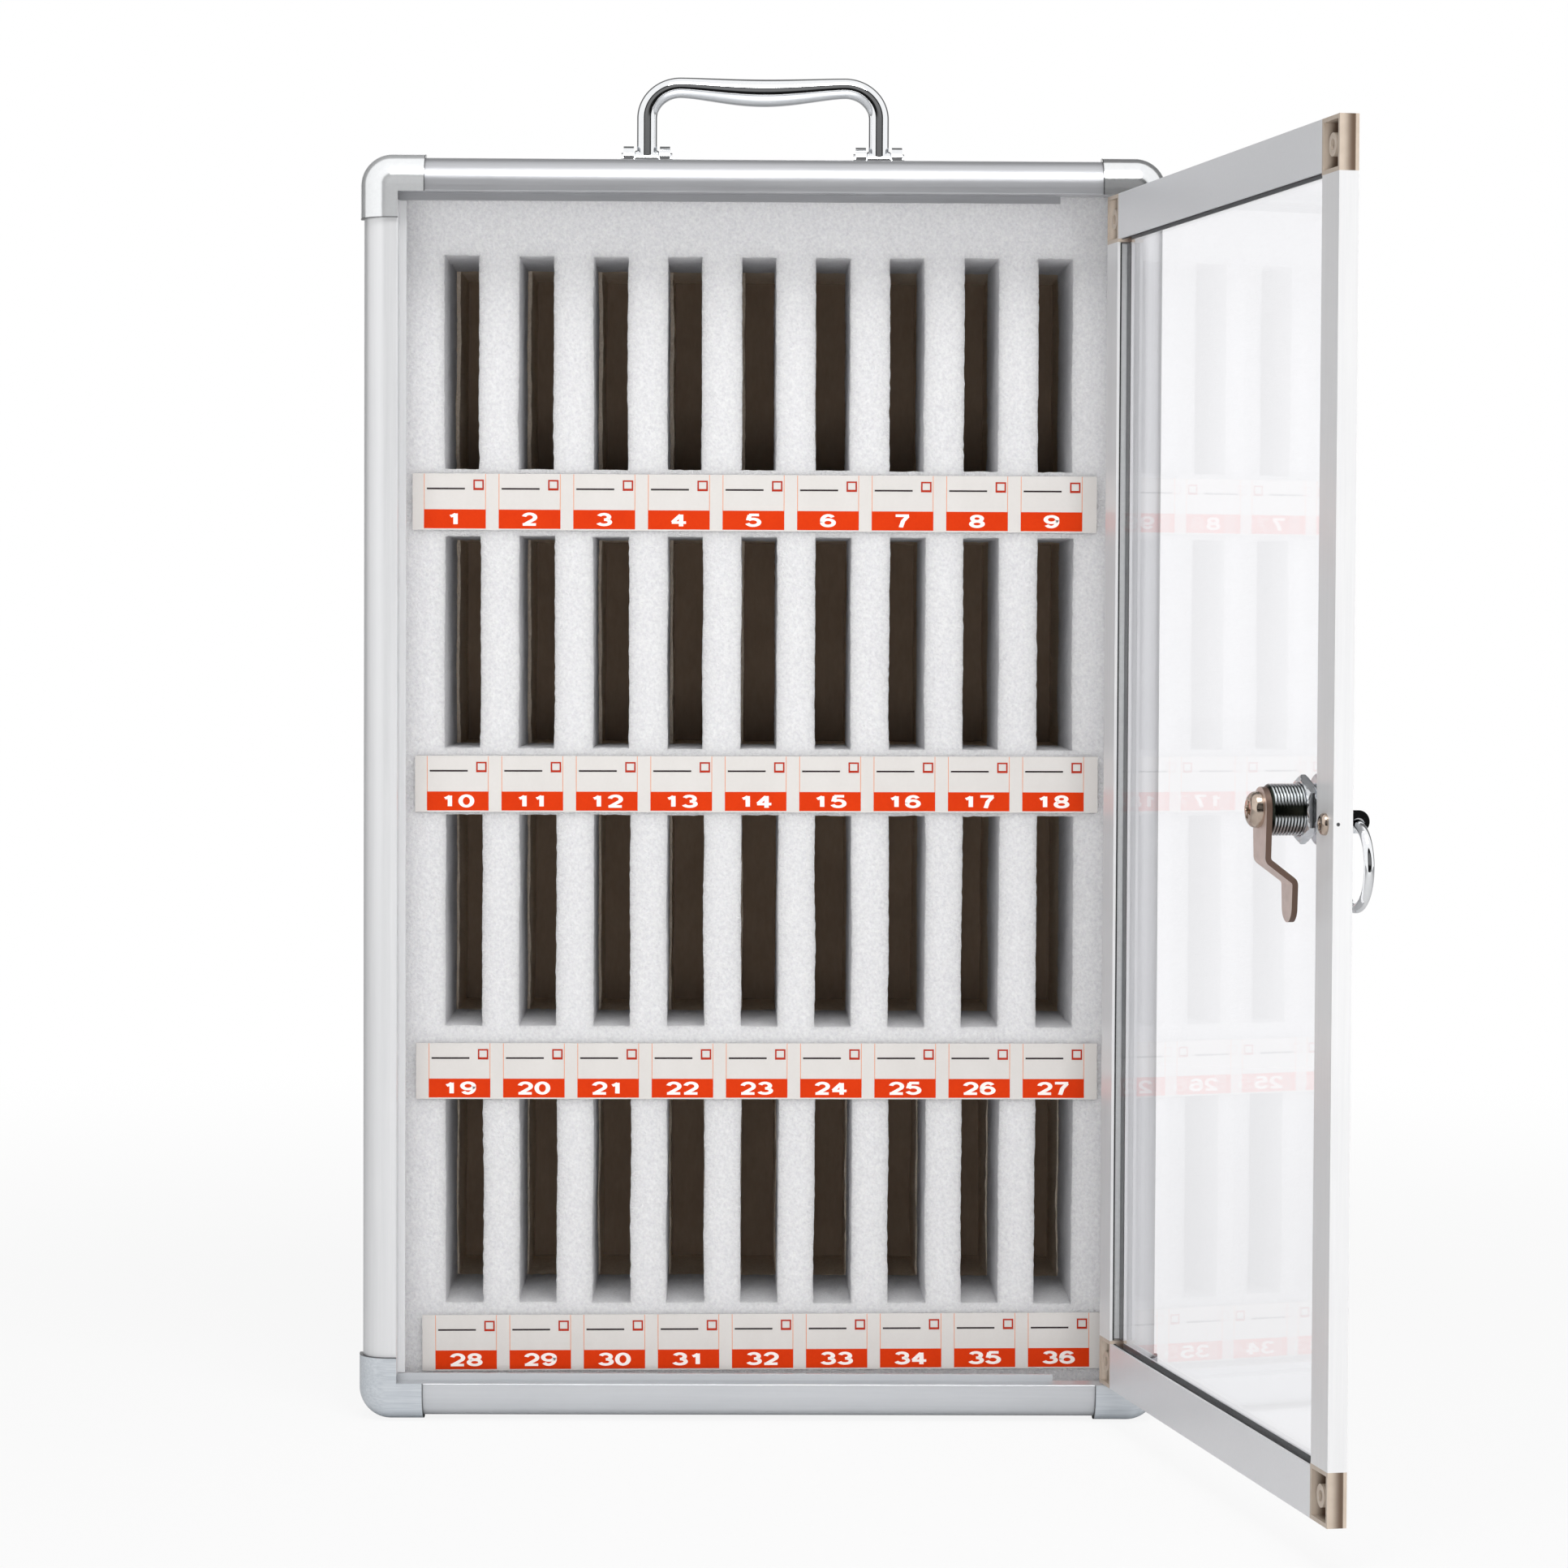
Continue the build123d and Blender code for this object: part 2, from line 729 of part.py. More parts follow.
with BuildPart() as lock_plug:
    with BuildSketch(door_plane.offset(flange_front)):
        with Locations(lock_place):
            Circle(lock_plug_diameter / 2)
    extrude(amount=cam_front - flange_front)
    with BuildSketch(door_plane.offset(cam_front)):
        with Locations(lock_place):
            Rectangle(drive_square, drive_square)
    extrude(amount=cam_thickness)
    with BuildSketch(door_plane.offset(flange_front)):
        with Locations(lock_place):
            SlotOverall(keyway_length, keyway_width, rotation=90)
    extrude(amount=keyway_depth, mode=Mode.SUBTRACT)
    with BuildSketch(door_plane.offset(cam_front + cam_thickness)):
        with Locations(lock_place):
            Circle(cam_screw_diameter / 2 + lock_plug_fit)
    extrude(amount=-cam_screw_length, mode=Mode.SUBTRACT)
save(lock_plug, "lock_plug")

# The cam hangs from the plug and is cranked towards the pane
cam_middle = cam_front + cam_thickness / 2
cam_bend_end = cam_bend_start + cam_bend_run
with BuildPart() as lock_cam:
    with BuildSketch(across_door(*lock_place)):
        with BuildLine():
            FilletPolyline(
                (cam_middle, -cam_length),
                (cam_middle, cam_bend_start),
                (cam_middle - cam_crank, cam_bend_end),
                (cam_middle - cam_crank, 2 * cam_length),
                radius=cam_bend_radius,
            )
        trace(line_width=cam_thickness)
    extrude(amount=cam_length, both=True)
    with BuildSketch(door_plane):
        with Locations(lock_place):
            Circle(cam_head_radius)
        with Locations((lock_along, lock_height - cam_length + cam_tip_radius)):
            Circle(cam_tip_radius)
        make_hull()
        with Locations(lock_place):
            Rectangle(drive_square + 2 * drive_fit, drive_square + 2 * drive_fit, mode=Mode.SUBTRACT)
    extrude(amount=2 * cam_front, mode=Mode.INTERSECT)
save(lock_cam, "lock_cam")

cam_back = cam_front + cam_thickness
with BuildPart() as cam_washer:
    with BuildSketch(door_plane.offset(cam_back)):
        with Locations(lock_place):
            Circle(cam_washer_diameter / 2)
            Circle(cam_screw_diameter / 2 + lock_plug_fit, mode=Mode.SUBTRACT)
    extrude(amount=cam_washer_thickness)
save(cam_washer, "cam_washer")

with BuildPart() as cam_screw:
    with BuildSketch(door_plane.offset(cam_back + cam_washer_thickness)):
        with Locations(lock_place):
            Circle(cam_screw_head_diameter / 2)
    extrude(amount=cam_screw_head_height)
    crown = cam_screw.faces().sort_by(Axis(door_origin, door_inward))[-1]
    fillet(crown.edges(), cam_screw_crown)
    with BuildSketch(door_plane.offset(cam_back + cam_washer_thickness)):
        with Locations(lock_place):
            Circle(cam_screw_diameter / 2)
    extrude(amount=-(cam_screw_length - cam_thickness))
save(cam_screw, "cam_screw")

# ---------------------------------------------------------------- ring pull

eye_across = -half_door - eye_diameter / 2
eye_bore = ring_wire + 2 * eye_play
ring_radius = (ring_outer_diameter - ring_wire) / 2

with BuildPart() as ring_eye:
    with BuildSketch(across_door(ring_along, ring_height)):
        with Locations((eye_across, -eye_raise)):
            Circle(eye_diameter / 2)
            Rectangle(eye_diameter / 2, eye_diameter, align=(Align.MIN, Align.CENTER))
    extrude(amount=eye_length / 2, both=True)
    with BuildSketch(door_plane.offset(-half_door)):
        with Locations((ring_along, ring_height)):
            Circle(stem_radius)
    extrude(amount=door_thickness - ring_screw_head_height / 2)
    with BuildSketch(across_door(ring_along, ring_height)):
        with Locations((eye_across, 0)):
            Circle(eye_bore / 2)
    extrude(amount=eye_length, both=True, mode=Mode.SUBTRACT)
save(ring_eye, "ring_eye")

# The ring's wire is centred in the eye: its curve bows by the sag over the eye's length
ring_sag = ring_radius - (ring_radius**2 - (eye_length / 2) ** 2) ** 0.5
ring_centre = ring_height - ring_radius + ring_sag / 2
with BuildPart() as pull_ring:
    with BuildSketch(across_door(ring_along, ring_centre)):
        with Locations((eye_across, ring_radius)):
            Circle(ring_wire / 2)
    ring_middle = door_plane.from_local_coords((ring_along, ring_centre, eye_across))
    revolve(axis=Axis(ring_middle, door_inward))
save(pull_ring, "pull_ring")

with BuildPart() as ring_screw:
    with BuildSketch(door_plane.offset(half_door)):
        with Locations((ring_along, ring_height)):
            Circle(ring_screw_head_diameter / 2)
    extrude(amount=ring_screw_head_height)
    crown = ring_screw.faces().sort_by(Axis(door_origin, door_inward))[-1]
    fillet(crown.edges(), ring_screw_crown)
save(ring_screw, "ring_screw")

# ---------------------------------------------------------------- carry handle

pin_z = panel_top + bracket_pin_height
rod_radius = handle_rod / 2
ear_middle = (bracket_width - bracket_ear) / 2
knuckle_half = bracket_width / 2 - bracket_ear - handle_knuckle_play
top_z = pin_z + handle_rise
bend_x = handle_span / 2 - handle_bend

with BuildPart() as carry_handle:
    with BuildLine() as leg_path:
        foot = (-handle_span / 2, 0, pin_z)
        bend_start = (-handle_span / 2, 0, top_z - handle_bend)
        Line(foot, bend_start)
        RadiusArc(bend_start, (-bend_x, 0, top_z), handle_bend)
    with BuildSketch(Plane.XY.offset(pin_z)):
        with Locations((-handle_span / 2, 0)):
            Circle(rod_radius)
    sweep(path=leg_path.line)
    mirror(about=Plane.YZ)
    grip_sections = [
        (-bend_x, 0, handle_rod),
        (-bend_x / 2, grip_shoulder_drop, grip_shoulder),
        (0, grip_drop, handle_grip),
        (bend_x / 2, grip_shoulder_drop, grip_shoulder),
        (bend_x, 0, handle_rod),
    ]
    for section_x, drop, diameter in grip_sections:
        with BuildSketch(Plane.YZ.offset(section_x)):
            with Locations((0, top_z - drop)):
                Circle(diameter / 2)
    loft()
    with BuildSketch(Plane.YZ.offset(-handle_span / 2), Plane.YZ.offset(handle_span / 2)):
        with Locations((0, pin_z)):
            Circle(handle_knuckle / 2)
    extrude(amount=knuckle_half, both=True)
    with BuildSketch(Plane.YZ):
        with Locations((0, pin_z)):
            Circle(handle_pin_diameter / 2 + handle_pin_fit)
    extrude(amount=handle_span, both=True, mode=Mode.SUBTRACT)
save(carry_handle, "carry_handle")

for side, sx in sides.items():
    bracket_x = sx * handle_span / 2
    with BuildPart() as bracket:
        with BuildSketch(Plane.XY.offset(panel_top)):
            with Locations((bracket_x, 0)):
                RectangleRounded(bracket_width, bracket_length, bracket_corner)
                with GridLocations(1, rivet_span, 1, 2):
                    Circle(rivet_diameter / 2 + rivet_fit, mode=Mode.SUBTRACT)
        extrude(amount=bracket_plate)
        for ear_x in (bracket_x - ear_middle, bracket_x + ear_middle):
            with BuildSketch(Plane.YZ.offset(ear_x)):
                with Locations((0, panel_top)):
                    upwards = (Align.CENTER, Align.MIN)
                    Rectangle(2 * bracket_ear_radius, bracket_pin_height, align=upwards)
                with Locations((0, pin_z)):
                    Circle(bracket_ear_radius)
                    Circle(handle_pin_diameter / 2 + handle_pin_fit, mode=Mode.SUBTRACT)
            extrude(amount=bracket_ear / 2, both=True)
    save(bracket, f"handle_bracket_{side}")

with BuildPart() as handle_pins:
    for bracket_x, _ in handle_places:
        with BuildSketch(Plane.YZ.offset(bracket_x)):
            with Locations((0, pin_z)):
                Circle(handle_pin_diameter / 2)
        extrude(amount=bracket_width / 2, both=True)
        for outward in (-1, 1):
            with BuildSketch(Plane.YZ.offset(bracket_x + outward * bracket_width / 2)):
                with Locations((0, pin_z)):
                    Circle(handle_pin_head_diameter / 2)
            extrude(amount=outward * handle_pin_head_height)
save(handle_pins, "handle_pins")

plate_top = panel_top + bracket_plate
with BuildPart() as bracket_rivets:
    for rivet in rivet_places:
        with BuildSketch(Plane.XY.offset(plate_top)):
            with Locations(rivet):
                Circle(rivet_head_diameter / 2)
        extrude(amount=rivet_head_height, taper=rivet_head_taper)
        with BuildSketch(Plane.XY.offset(plate_top)):
            with Locations(rivet):
                Circle(rivet_diameter / 2)
        extrude(amount=-(bracket_plate + panel_thickness))
        with BuildSketch(Plane.XY.offset(panel_top - panel_thickness)):
            with Locations(rivet):
                Circle(rivet_tail_diameter / 2)
        extrude(amount=-rivet_tail_height)
save(bracket_rivets, "bracket_rivets")
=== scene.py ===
# %% [markdown]
# # A phone locker box, dressed
# The construction comes in ready made: every rigid piece of the locker is already a named mesh in
# its true place, in metres. This lesson gives those pieces their finishes and sets up a small
# studio. It puts finer meshes in the place of the foam, the lock's barrel, nut and screws, the
# carry handle and the pane's seal, and it adds the print on the labels. The frame is loaded first,
# because every later step hangs on it.

# %% Load the frame
import math

import bmesh
import bpy
from mathutils import Matrix, Vector, noise


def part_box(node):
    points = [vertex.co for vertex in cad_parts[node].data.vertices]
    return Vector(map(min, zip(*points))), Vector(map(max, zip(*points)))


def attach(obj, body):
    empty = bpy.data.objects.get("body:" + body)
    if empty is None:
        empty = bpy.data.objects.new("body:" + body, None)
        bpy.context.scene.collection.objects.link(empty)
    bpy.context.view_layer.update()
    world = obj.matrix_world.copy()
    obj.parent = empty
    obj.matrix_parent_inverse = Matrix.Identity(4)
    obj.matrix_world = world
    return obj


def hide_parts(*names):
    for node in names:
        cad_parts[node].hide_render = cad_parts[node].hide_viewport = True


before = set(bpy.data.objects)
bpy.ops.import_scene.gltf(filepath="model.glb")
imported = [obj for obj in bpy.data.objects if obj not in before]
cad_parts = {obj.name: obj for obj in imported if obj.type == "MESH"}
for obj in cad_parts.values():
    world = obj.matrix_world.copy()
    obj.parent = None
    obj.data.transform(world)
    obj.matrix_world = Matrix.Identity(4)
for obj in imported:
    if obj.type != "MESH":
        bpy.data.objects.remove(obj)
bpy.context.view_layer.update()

MM = 0.001
print("pieces in the frame:", len(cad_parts))

# %% [markdown]
# ## The camera
# The locker was seen from about a metre and a half away, a little above its middle, with a long
# lens. A camera can be aimed with a constraint or with a matrix. The matrix is used here, because
# the small tilt and roll of a hand-set tripod are then three plain angles.

# %% Camera
LENS = 98.276
CAMERA_PLACE = Vector((-12.06, -1559.5, 276.4)) * MM
TURN = math.radians(-0.763)
TIP = math.radians(2.053)
ROLL = math.radians(0.263)


def camera_matrix(place, turn, tip, roll):
    """A camera at that place: turned about the vertical, tipped down and rolled."""
    flat = Vector((-math.sin(turn), math.cos(turn), 0))
    forward = math.cos(tip) * flat - math.sin(tip) * Vector((0, 0, 1))
    level = Vector((math.cos(turn), math.sin(turn), 0))
    upright = level.cross(forward)
    right = math.cos(roll) * level + math.sin(roll) * upright
    up = math.cos(roll) * upright - math.sin(roll) * level
    columns = Matrix((right, up, -forward)).transposed().to_4x4()
    return Matrix.Translation(place) @ columns


camera_data = bpy.data.cameras.new("camera")
camera_data.lens = LENS
camera_data.sensor_width = 36
camera_data.clip_start = 0.05
camera_data.clip_end = 60
camera = bpy.data.objects.new("camera", camera_data)
bpy.context.scene.collection.objects.link(camera)
camera.matrix_world = camera_matrix(CAMERA_PLACE, TURN, TIP, ROLL)
bpy.context.scene.camera = camera
print("camera at", [round(v, 3) for v in CAMERA_PLACE])

# %% [markdown]
# ## Sums in a shader
# A finish is a small net of nodes. Placing Math nodes by hand hides the sum that they make, so one
# class wraps a socket and lets plain Python write the sum: `1 - mask` adds the node that does it.
# A second class holds a net and has a single method for every other node. The room and the
# materials both build on it.


# %% A socket that can be added and multiplied
class Wire:
    """One output socket. Sums on it add Math nodes to its net."""

    def __init__(self, net, socket):
        self.net = net
        self.socket = socket

    def _sum(self, operation, first, second):
        return self.net.node("ShaderNodeMath", {"operation": operation}, {0: first, 1: second})

    def __add__(self, other):
        return self._sum("ADD", self, other)

    __radd__ = __add__

    def __sub__(self, other):
        return self._sum("SUBTRACT", self, other)

    def __rsub__(self, other):
        return self._sum("SUBTRACT", other, self)

    def __mul__(self, other):
        return self._sum("MULTIPLY", self, other)

    __rmul__ = __mul__

    def __truediv__(self, other):
        return self._sum("DIVIDE", self, other)

    def __pow__(self, other):
        return self._sum("POWER", self, other)

    def __abs__(self):
        return self.net.node("ShaderNodeMath", {"operation": "ABSOLUTE"}, {0: self})

    def limited(self):
        """The value held between 0 and 1."""
        return self.net.node("ShaderNodeClamp", {}, {"Value": self})

    def stepped(self, low, high):
        """A smooth step from 0 at low to 1 at high."""
        settings = {"interpolation_type": "SMOOTHSTEP"}
        return self.net.node("ShaderNodeMapRange", settings, {"Value": self, 1: low, 2: high})


print("sums that a wire can write: + - * / ** abs")


# %% A net of nodes
class Net:
    """A node tree, and the one method that adds nodes to it."""

    def __init__(self, tree):
        self.tree = tree
        self.tree.nodes.clear()

    def node(self, kind, settings, inputs, output=0):
        """Adds a node: its settings first, then its values or links. Gives one of its outputs."""
        made = self.tree.nodes.new(kind)
        for name, value in settings.items():
            setattr(made, name, value)
        for name, value in inputs.items():
            self.feed(made.inputs[name], value)
        return Wire(self, made.outputs[output])

    def feed(self, socket, value):
        """Sets a socket to a value, or links it to a wire."""
        if isinstance(value, Wire):
            self.tree.links.new(value.socket, socket)
        else:
            socket.default_value = value

    def vector(self, operation, first, second=(0, 0, 0), output=0):
        """A sum on vectors. Output 1 is the number that a length or a product gives."""
        settings = {"operation": operation}
        return self.node("ShaderNodeVectorMath", settings, {0: first, 1: second}, output)

    def ray(self, kind):
        """1 for rays of that kind, such as Is Camera Ray, and 0 for others."""
        return self.node("ShaderNodeLightPath", {}, {}, kind)

    def seen(self):
        """1 for a ray straight from the camera or through the clear pane, and 0 for others."""
        return (self.ray("Is Camera Ray") + self.ray("Is Transmission Ray")).limited()


print("net helper ready")


# %% A finish
def tint(red, green, blue):
    """A colour as a painter reads it, 0 to 255, in the linear light that a shader wants."""
    linear = []
    for part in (red, green, blue):
        share = part / 255
        linear.append(share / 12.92 if share <= 0.04045 else ((share + 0.055) / 1.055) ** 2.4)
    return (*linear, 1.0)


class Finish(Net):
    """One material: a Principled shader, its output, and the nodes that feed them."""

    def __init__(self, name, metallic=0.0, roughness=0.5):
        self.material = bpy.data.materials.new(name)
        self.material.use_nodes = True
        super().__init__(self.material.node_tree)
        self.output = self.tree.nodes.new("ShaderNodeOutputMaterial")
        self.shader = self.tree.nodes.new("ShaderNodeBsdfPrincipled")
        self.surface(Wire(self, self.shader.outputs[0]))
        self.set(Metallic=metallic, Roughness=roughness)

    def surface(self, shader):
        """Makes a shader the one that is seen."""
        self.tree.links.new(shader.socket, self.output.inputs["Surface"])

    def set(self, **sockets):
        """Sets or links sockets of the shader, written with _ for a space."""
        for name, value in sockets.items():
            self.feed(self.shader.inputs[name.replace("_", " ")], value)

    def place(self, stretch=(1, 1, 1), turn=(0, 0, 0)):
        """Where a point is on its piece, in metres, stretched along the axes and turned."""
        spot = self.node("ShaderNodeTexCoord", {}, {}, "Object")
        change = {"Vector": spot, "Rotation": turn, "Scale": stretch}
        return self.node("ShaderNodeMapping", {}, change)

    def axis(self, name):
        """One coordinate of the point, in metres."""
        spot = self.node("ShaderNodeTexCoord", {}, {}, "Object")
        return self.node("ShaderNodeSeparateXYZ", {}, {0: spot}, name)

    def noise(self, size, detail=2.0, rough=0.5, stretch=(1, 1, 1)):
        """Soft noise with grains of about this size in metres, between 0 and 1."""
        values = {"Vector": self.place(stretch), "Scale": 1 / size}
        values |= {"Detail": detail, "Roughness": rough}
        return self.node("ShaderNodeTexNoise", {}, values)

    def cells(self, per_metre, settings):
        """A pattern of cells, so many to a metre."""
        values = {"Vector": self.place(), "Scale": per_metre}
        return self.node("ShaderNodeTexVoronoi", settings, values)

    def blend(self, share, first, second):
        """A mix of two colours."""
        return self.node("ShaderNodeMix", {"data_type": "RGBA"}, {0: share, 6: first, 7: second}, 2)

    def bump(self, height, distance, strength=1.0):
        """A normal from a height between 0 and 1, for that distance in metres."""
        inputs = {"Strength": strength, "Distance": distance, "Height": height}
        return self.node("ShaderNodeBump", {}, inputs)


print("middle grey in linear light:", round(tint(128, 128, 128)[0], 3))

# %% [markdown]
# ## The studio
# A small product is lit by large soft surfaces: a pale floor and a white room, with one box lamp
# above and three low ones in front, which reach into the slots. A metal shows the room rather than
# a colour of its own, so behind the camera the room has the dark opening that any studio has, and
# polished metal mirrors it as a dark core between white edges. A grey flag behind the locker does
# the same for its top. The front lamps aren't mirrored, or each would be a hard white spot. To the
# camera the room is plain white, and the floor is nearly so, with the faint shadow of the locker
# left on it.

# %% Floor
FLOOR_REACH = 12.0
FLOOR_FRONT = -1.3
SHADOW_SHARE = 0.12
SHADOW_NEAR = 0.25
SHADOW_FAR = 1.2


def pale_floor():
    """A large quad, white to the camera, with a share of the real shading near the locker."""
    mesh = bpy.data.meshes.new("floor")
    far = FLOOR_REACH
    corners = ((-far, FLOOR_FRONT, 0), (far, FLOOR_FRONT, 0), (far, far, 0), (-far, far, 0))
    mesh.from_pydata(corners, [], [(0, 1, 2, 3)])
    floor = bpy.data.objects.new("floor", mesh)
    bpy.context.scene.collection.objects.link(floor)
    finish = Finish("studio_floor", roughness=0.9)
    finish.set(Base_Color=tint(245, 245, 245), Specular_IOR_Level=0.0)
    white = finish.node("ShaderNodeEmission", {}, {"Color": (1, 1, 1, 1), "Strength": 1.0})
    away = finish.vector("LENGTH", finish.place(), output=1)
    shading = (1 - away.stepped(SHADOW_NEAR, SHADOW_FAR)) * SHADOW_SHARE
    share = finish.seen() * (1 - shading)
    matt = Wire(finish, finish.shader.outputs[0])
    finish.surface(finish.node("ShaderNodeMixShader", {}, {0: share, 1: matt, 2: white}))
    mesh.materials.append(finish.material)
    return floor


pale_floor()
print("floor laid, metres each way:", FLOOR_REACH)

# %% Room
ROOM_LIGHT = 0.36
OPENING_MIDDLE = (0.06, 0.13)
OPENING_HALF = (0.7, 0.62)
OPENING_DARK = 0.008
CORE_LIGHT = 0.17
FLAG_SHARE = 0.85
FLAG_NEAR = 0.9
FLAG_FAR = 0.45


def white_room():
    """A world that is white to the camera, soft to matt surfaces and partly dark to metal."""
    world = bpy.data.worlds.new("room")
    world.use_nodes = True
    net = Net(world.node_tree)
    way = net.node("ShaderNodeTexCoord", {}, {}, "Generated")
    parts = (net.node("ShaderNodeSeparateXYZ", {}, {0: way}, name) for name in "XYZ")
    side, depth, height = parts
    across = (side - OPENING_MIDDLE[0]) / OPENING_HALF[0]
    upward = (height - OPENING_MIDDLE[1]) / OPENING_HALF[1]
    reach = (across * across + upward * upward) ** 0.5
    behind_camera = (0 - depth).stepped(0.0, 0.1)
    opening = (1 - reach.stepped(0.9, 1.0)) * behind_camera
    core = (1 - reach.stepped(0.6, 0.78)) * height.stepped(0.02, 0.14)
    beyond = 1 - depth.stepped(FLAG_NEAR - 0.04, FLAG_NEAR)
    flag = depth.stepped(FLAG_FAR - 0.1, FLAG_FAR) * beyond
    inner = OPENING_DARK + core * CORE_LIGHT
    level = (1 - opening) * (1 - flag * FLAG_SHARE) + opening * inner
    soft, mirrored, plain = (
        net.node("ShaderNodeBackground", {}, {"Color": (1, 1, 1, 1), "Strength": strength})
        for strength in (ROOM_LIGHT, level, 1.0)
    )
    glossy = net.ray("Is Glossy Ray")
    lit = net.node("ShaderNodeMixShader", {}, {0: glossy, 1: soft, 2: mirrored})
    shown = net.node("ShaderNodeMixShader", {}, {0: net.seen(), 1: lit, 2: plain})
    end = net.tree.nodes.new("ShaderNodeOutputWorld")
    net.tree.links.new(shown.socket, end.inputs["Surface"])
    bpy.context.scene.world = world


white_room()
bpy.context.scene.view_settings.view_transform = "Standard"
print("room light:", ROOM_LIGHT)

# %% Lamps
LAMP_AIM = (0, 0, 0.22)
ABOVE = (0.1, -0.8, 1.45)
IN_FRONT = (("lamp_left", -0.62, 3.6), ("lamp_middle", -0.05, 6.3), ("lamp_right", 0.62, 6.6))
FRONT_BACK = -1.7
FRONT_HEIGHT = 0.12


def soft_lamp(name, place, width, height, power):
    """A box lamp at a place, aimed at the middle of the locker."""
    data = bpy.data.lights.new(name, "AREA")
    data.shape = "RECTANGLE"
    data.size = width
    data.size_y = height
    data.energy = power
    lamp = bpy.data.objects.new(name, data)
    bpy.context.scene.collection.objects.link(lamp)
    lamp.location = place
    lamp.rotation_euler = (Vector(LAMP_AIM) - Vector(place)).to_track_quat("-Z", "Y").to_euler()
    return lamp


soft_lamp("lamp_above", ABOVE, 0.8, 0.5, 9.0)
for name, across, power in IN_FRONT:
    front_lamp = soft_lamp(name, (across, FRONT_BACK, FRONT_HEIGHT), 0.4, 0.4, power)
    front_lamp.visible_glossy = False
print("lamps:", 1 + len(IN_FRONT))

# %% [markdown]
# ## Metals
# The box is held by satin aluminium extrusions. Anodising over a drawn surface leaves very fine
# lines along the bar. An image of brushed metal would repeat, so the lines are noise that is drawn
# out along one axis. Every bar has a finish of its own, made by one function: the grain follows
# the way the bar runs, and the tone is painted light and shade, set bar by bar to how lit it looks:
# the top rail is painted darkest. Caps are plated steel: the top ones mirror the room and the
# bottom ones are brushed.

# %% Aluminium extrusion
LONG = 0.02


def along(axis):
    """The stretch that draws a grain out along one axis."""
    return tuple(LONG if name == axis else 1.0 for name in "XYZ")


def aluminium(name, axis, pale, dark, metallic, hole=None):
    """Satin anodised aluminium, drawn lines along one axis, and a painted shade of a hole if
    placed.
    """
    finish = Finish(name, metallic=metallic)
    lines = finish.noise(0.0009, 3.0, 0.6, along(axis))
    cloud = finish.noise(0.05, 2.0)
    colour = finish.blend(lines * 0.6 + cloud * 0.4, dark, pale)
    if hole:
        # The hole is not cut: its shade is painted as a dark spot.
        away = finish.vector("DISTANCE", finish.place(), hole, 1)
        colour = finish.blend(1 - away.stepped(0.0004, 0.0007), colour, tint(70, 70, 72))
    finish.set(Base_Color=colour, Roughness=0.28 + lines * 0.12)
    finish.set(Normal=finish.bump(lines, 0.00002, 0.5))
    return finish.material


print("stretch of a grain along X:", along("X"))

# %% Bars of the frame
# Painted light and shade: one metal, toned bar by bar to how lit it looks; the top rail darkest.
POST = aluminium("satin_post", "Z", tint(238, 238, 239), tint(220, 221, 223), 0.35)
TOP_RAIL = aluminium("satin_top_rail", "X", tint(196, 197, 200), tint(172, 173, 177), 0.6)
LOW_RAIL = aluminium("satin_low_rail", "X", tint(218, 220, 223), tint(199, 202, 206), 0.45)
DEPTH_BAR = aluminium("satin_depth_bar", "Y", tint(232, 234, 236), tint(214, 216, 220), 0.35)
print("made", ", ".join(bar.name for bar in (POST, TOP_RAIL, LOW_RAIL, DEPTH_BAR)))

# %% [markdown]
# ### Places on the door
# The door stands open, turned about its hinge, so nothing on it is square to the axes. Its parts
# could be built flat and turned afterwards, but a piece here keeps its place in its mesh. So one
# function turns a place on the door, along it, up it and across its thickness, into a point.

# %% Places on the door
HINGE = Vector((122.3, -71.3, 14.0))
DOOR_TURN = math.radians(100.5)
DOOR_ALONG = Vector((-math.cos(DOOR_TURN), -math.sin(DOOR_TURN), 0))
DOOR_INWARD = Vector((-math.sin(DOOR_TURN), math.cos(DOOR_TURN), 0))
LOCK_EDGE = 248.3


def on_door(along_door, height, across):
    """A point by its place on the door: from the hinge, from the bottom and from mid-thickness."""
    level = HINGE + along_door * DOOR_ALONG + across * DOOR_INWARD
    return (level + Vector((0, 0, height))) * MM


def depth_in_door(finish):
    """How far a point lies inward of the door's middle plane, in metres."""
    from_hinge = finish.vector("SUBTRACT", finish.place(), tuple(HINGE * MM))
    return finish.vector("DOT_PRODUCT", from_hinge, tuple(DOOR_INWARD), 1)


PAINTED_HOLE_SHADE = tuple(on_door(LOCK_EDGE, 206.65, 1.5))
# Painted light and shade: the door's bars are toned to how lit they look, like the frame's.
STILE = aluminium("satin_stile", "Z", tint(236, 236, 236), tint(216, 216, 218), 0.15, PAINTED_HOLE_SHADE)
DOOR_RAIL = aluminium("satin_door_rail", "X", tint(238, 239, 241), tint(224, 225, 228), 0.3)
print("hole in the stile at", [round(v, 3) for v in PAINTED_HOLE_SHADE])

# %% [markdown]
# ### Caps and plating
# The corner caps are pressed and plated, and where their legs end on the bars they step down, with
# a thin line of shade. That line could be a groove in the mesh. It is painted shade in the colour
# here, a mask worked out from the distance to the middle of the locker, so that it lies right on
# all eight caps. The lock's parts, the screws and the handle get plated finishes of their own:
# bright chrome, zinc, warm nickel and bare plate.

# %% Caps
CAP_END_ACROSS = 0.1173
CAP_END_UP = 0.1978
MIDDLE_HEIGHT = 0.2205
PAINTED_SHADE_WIDE = 0.00045


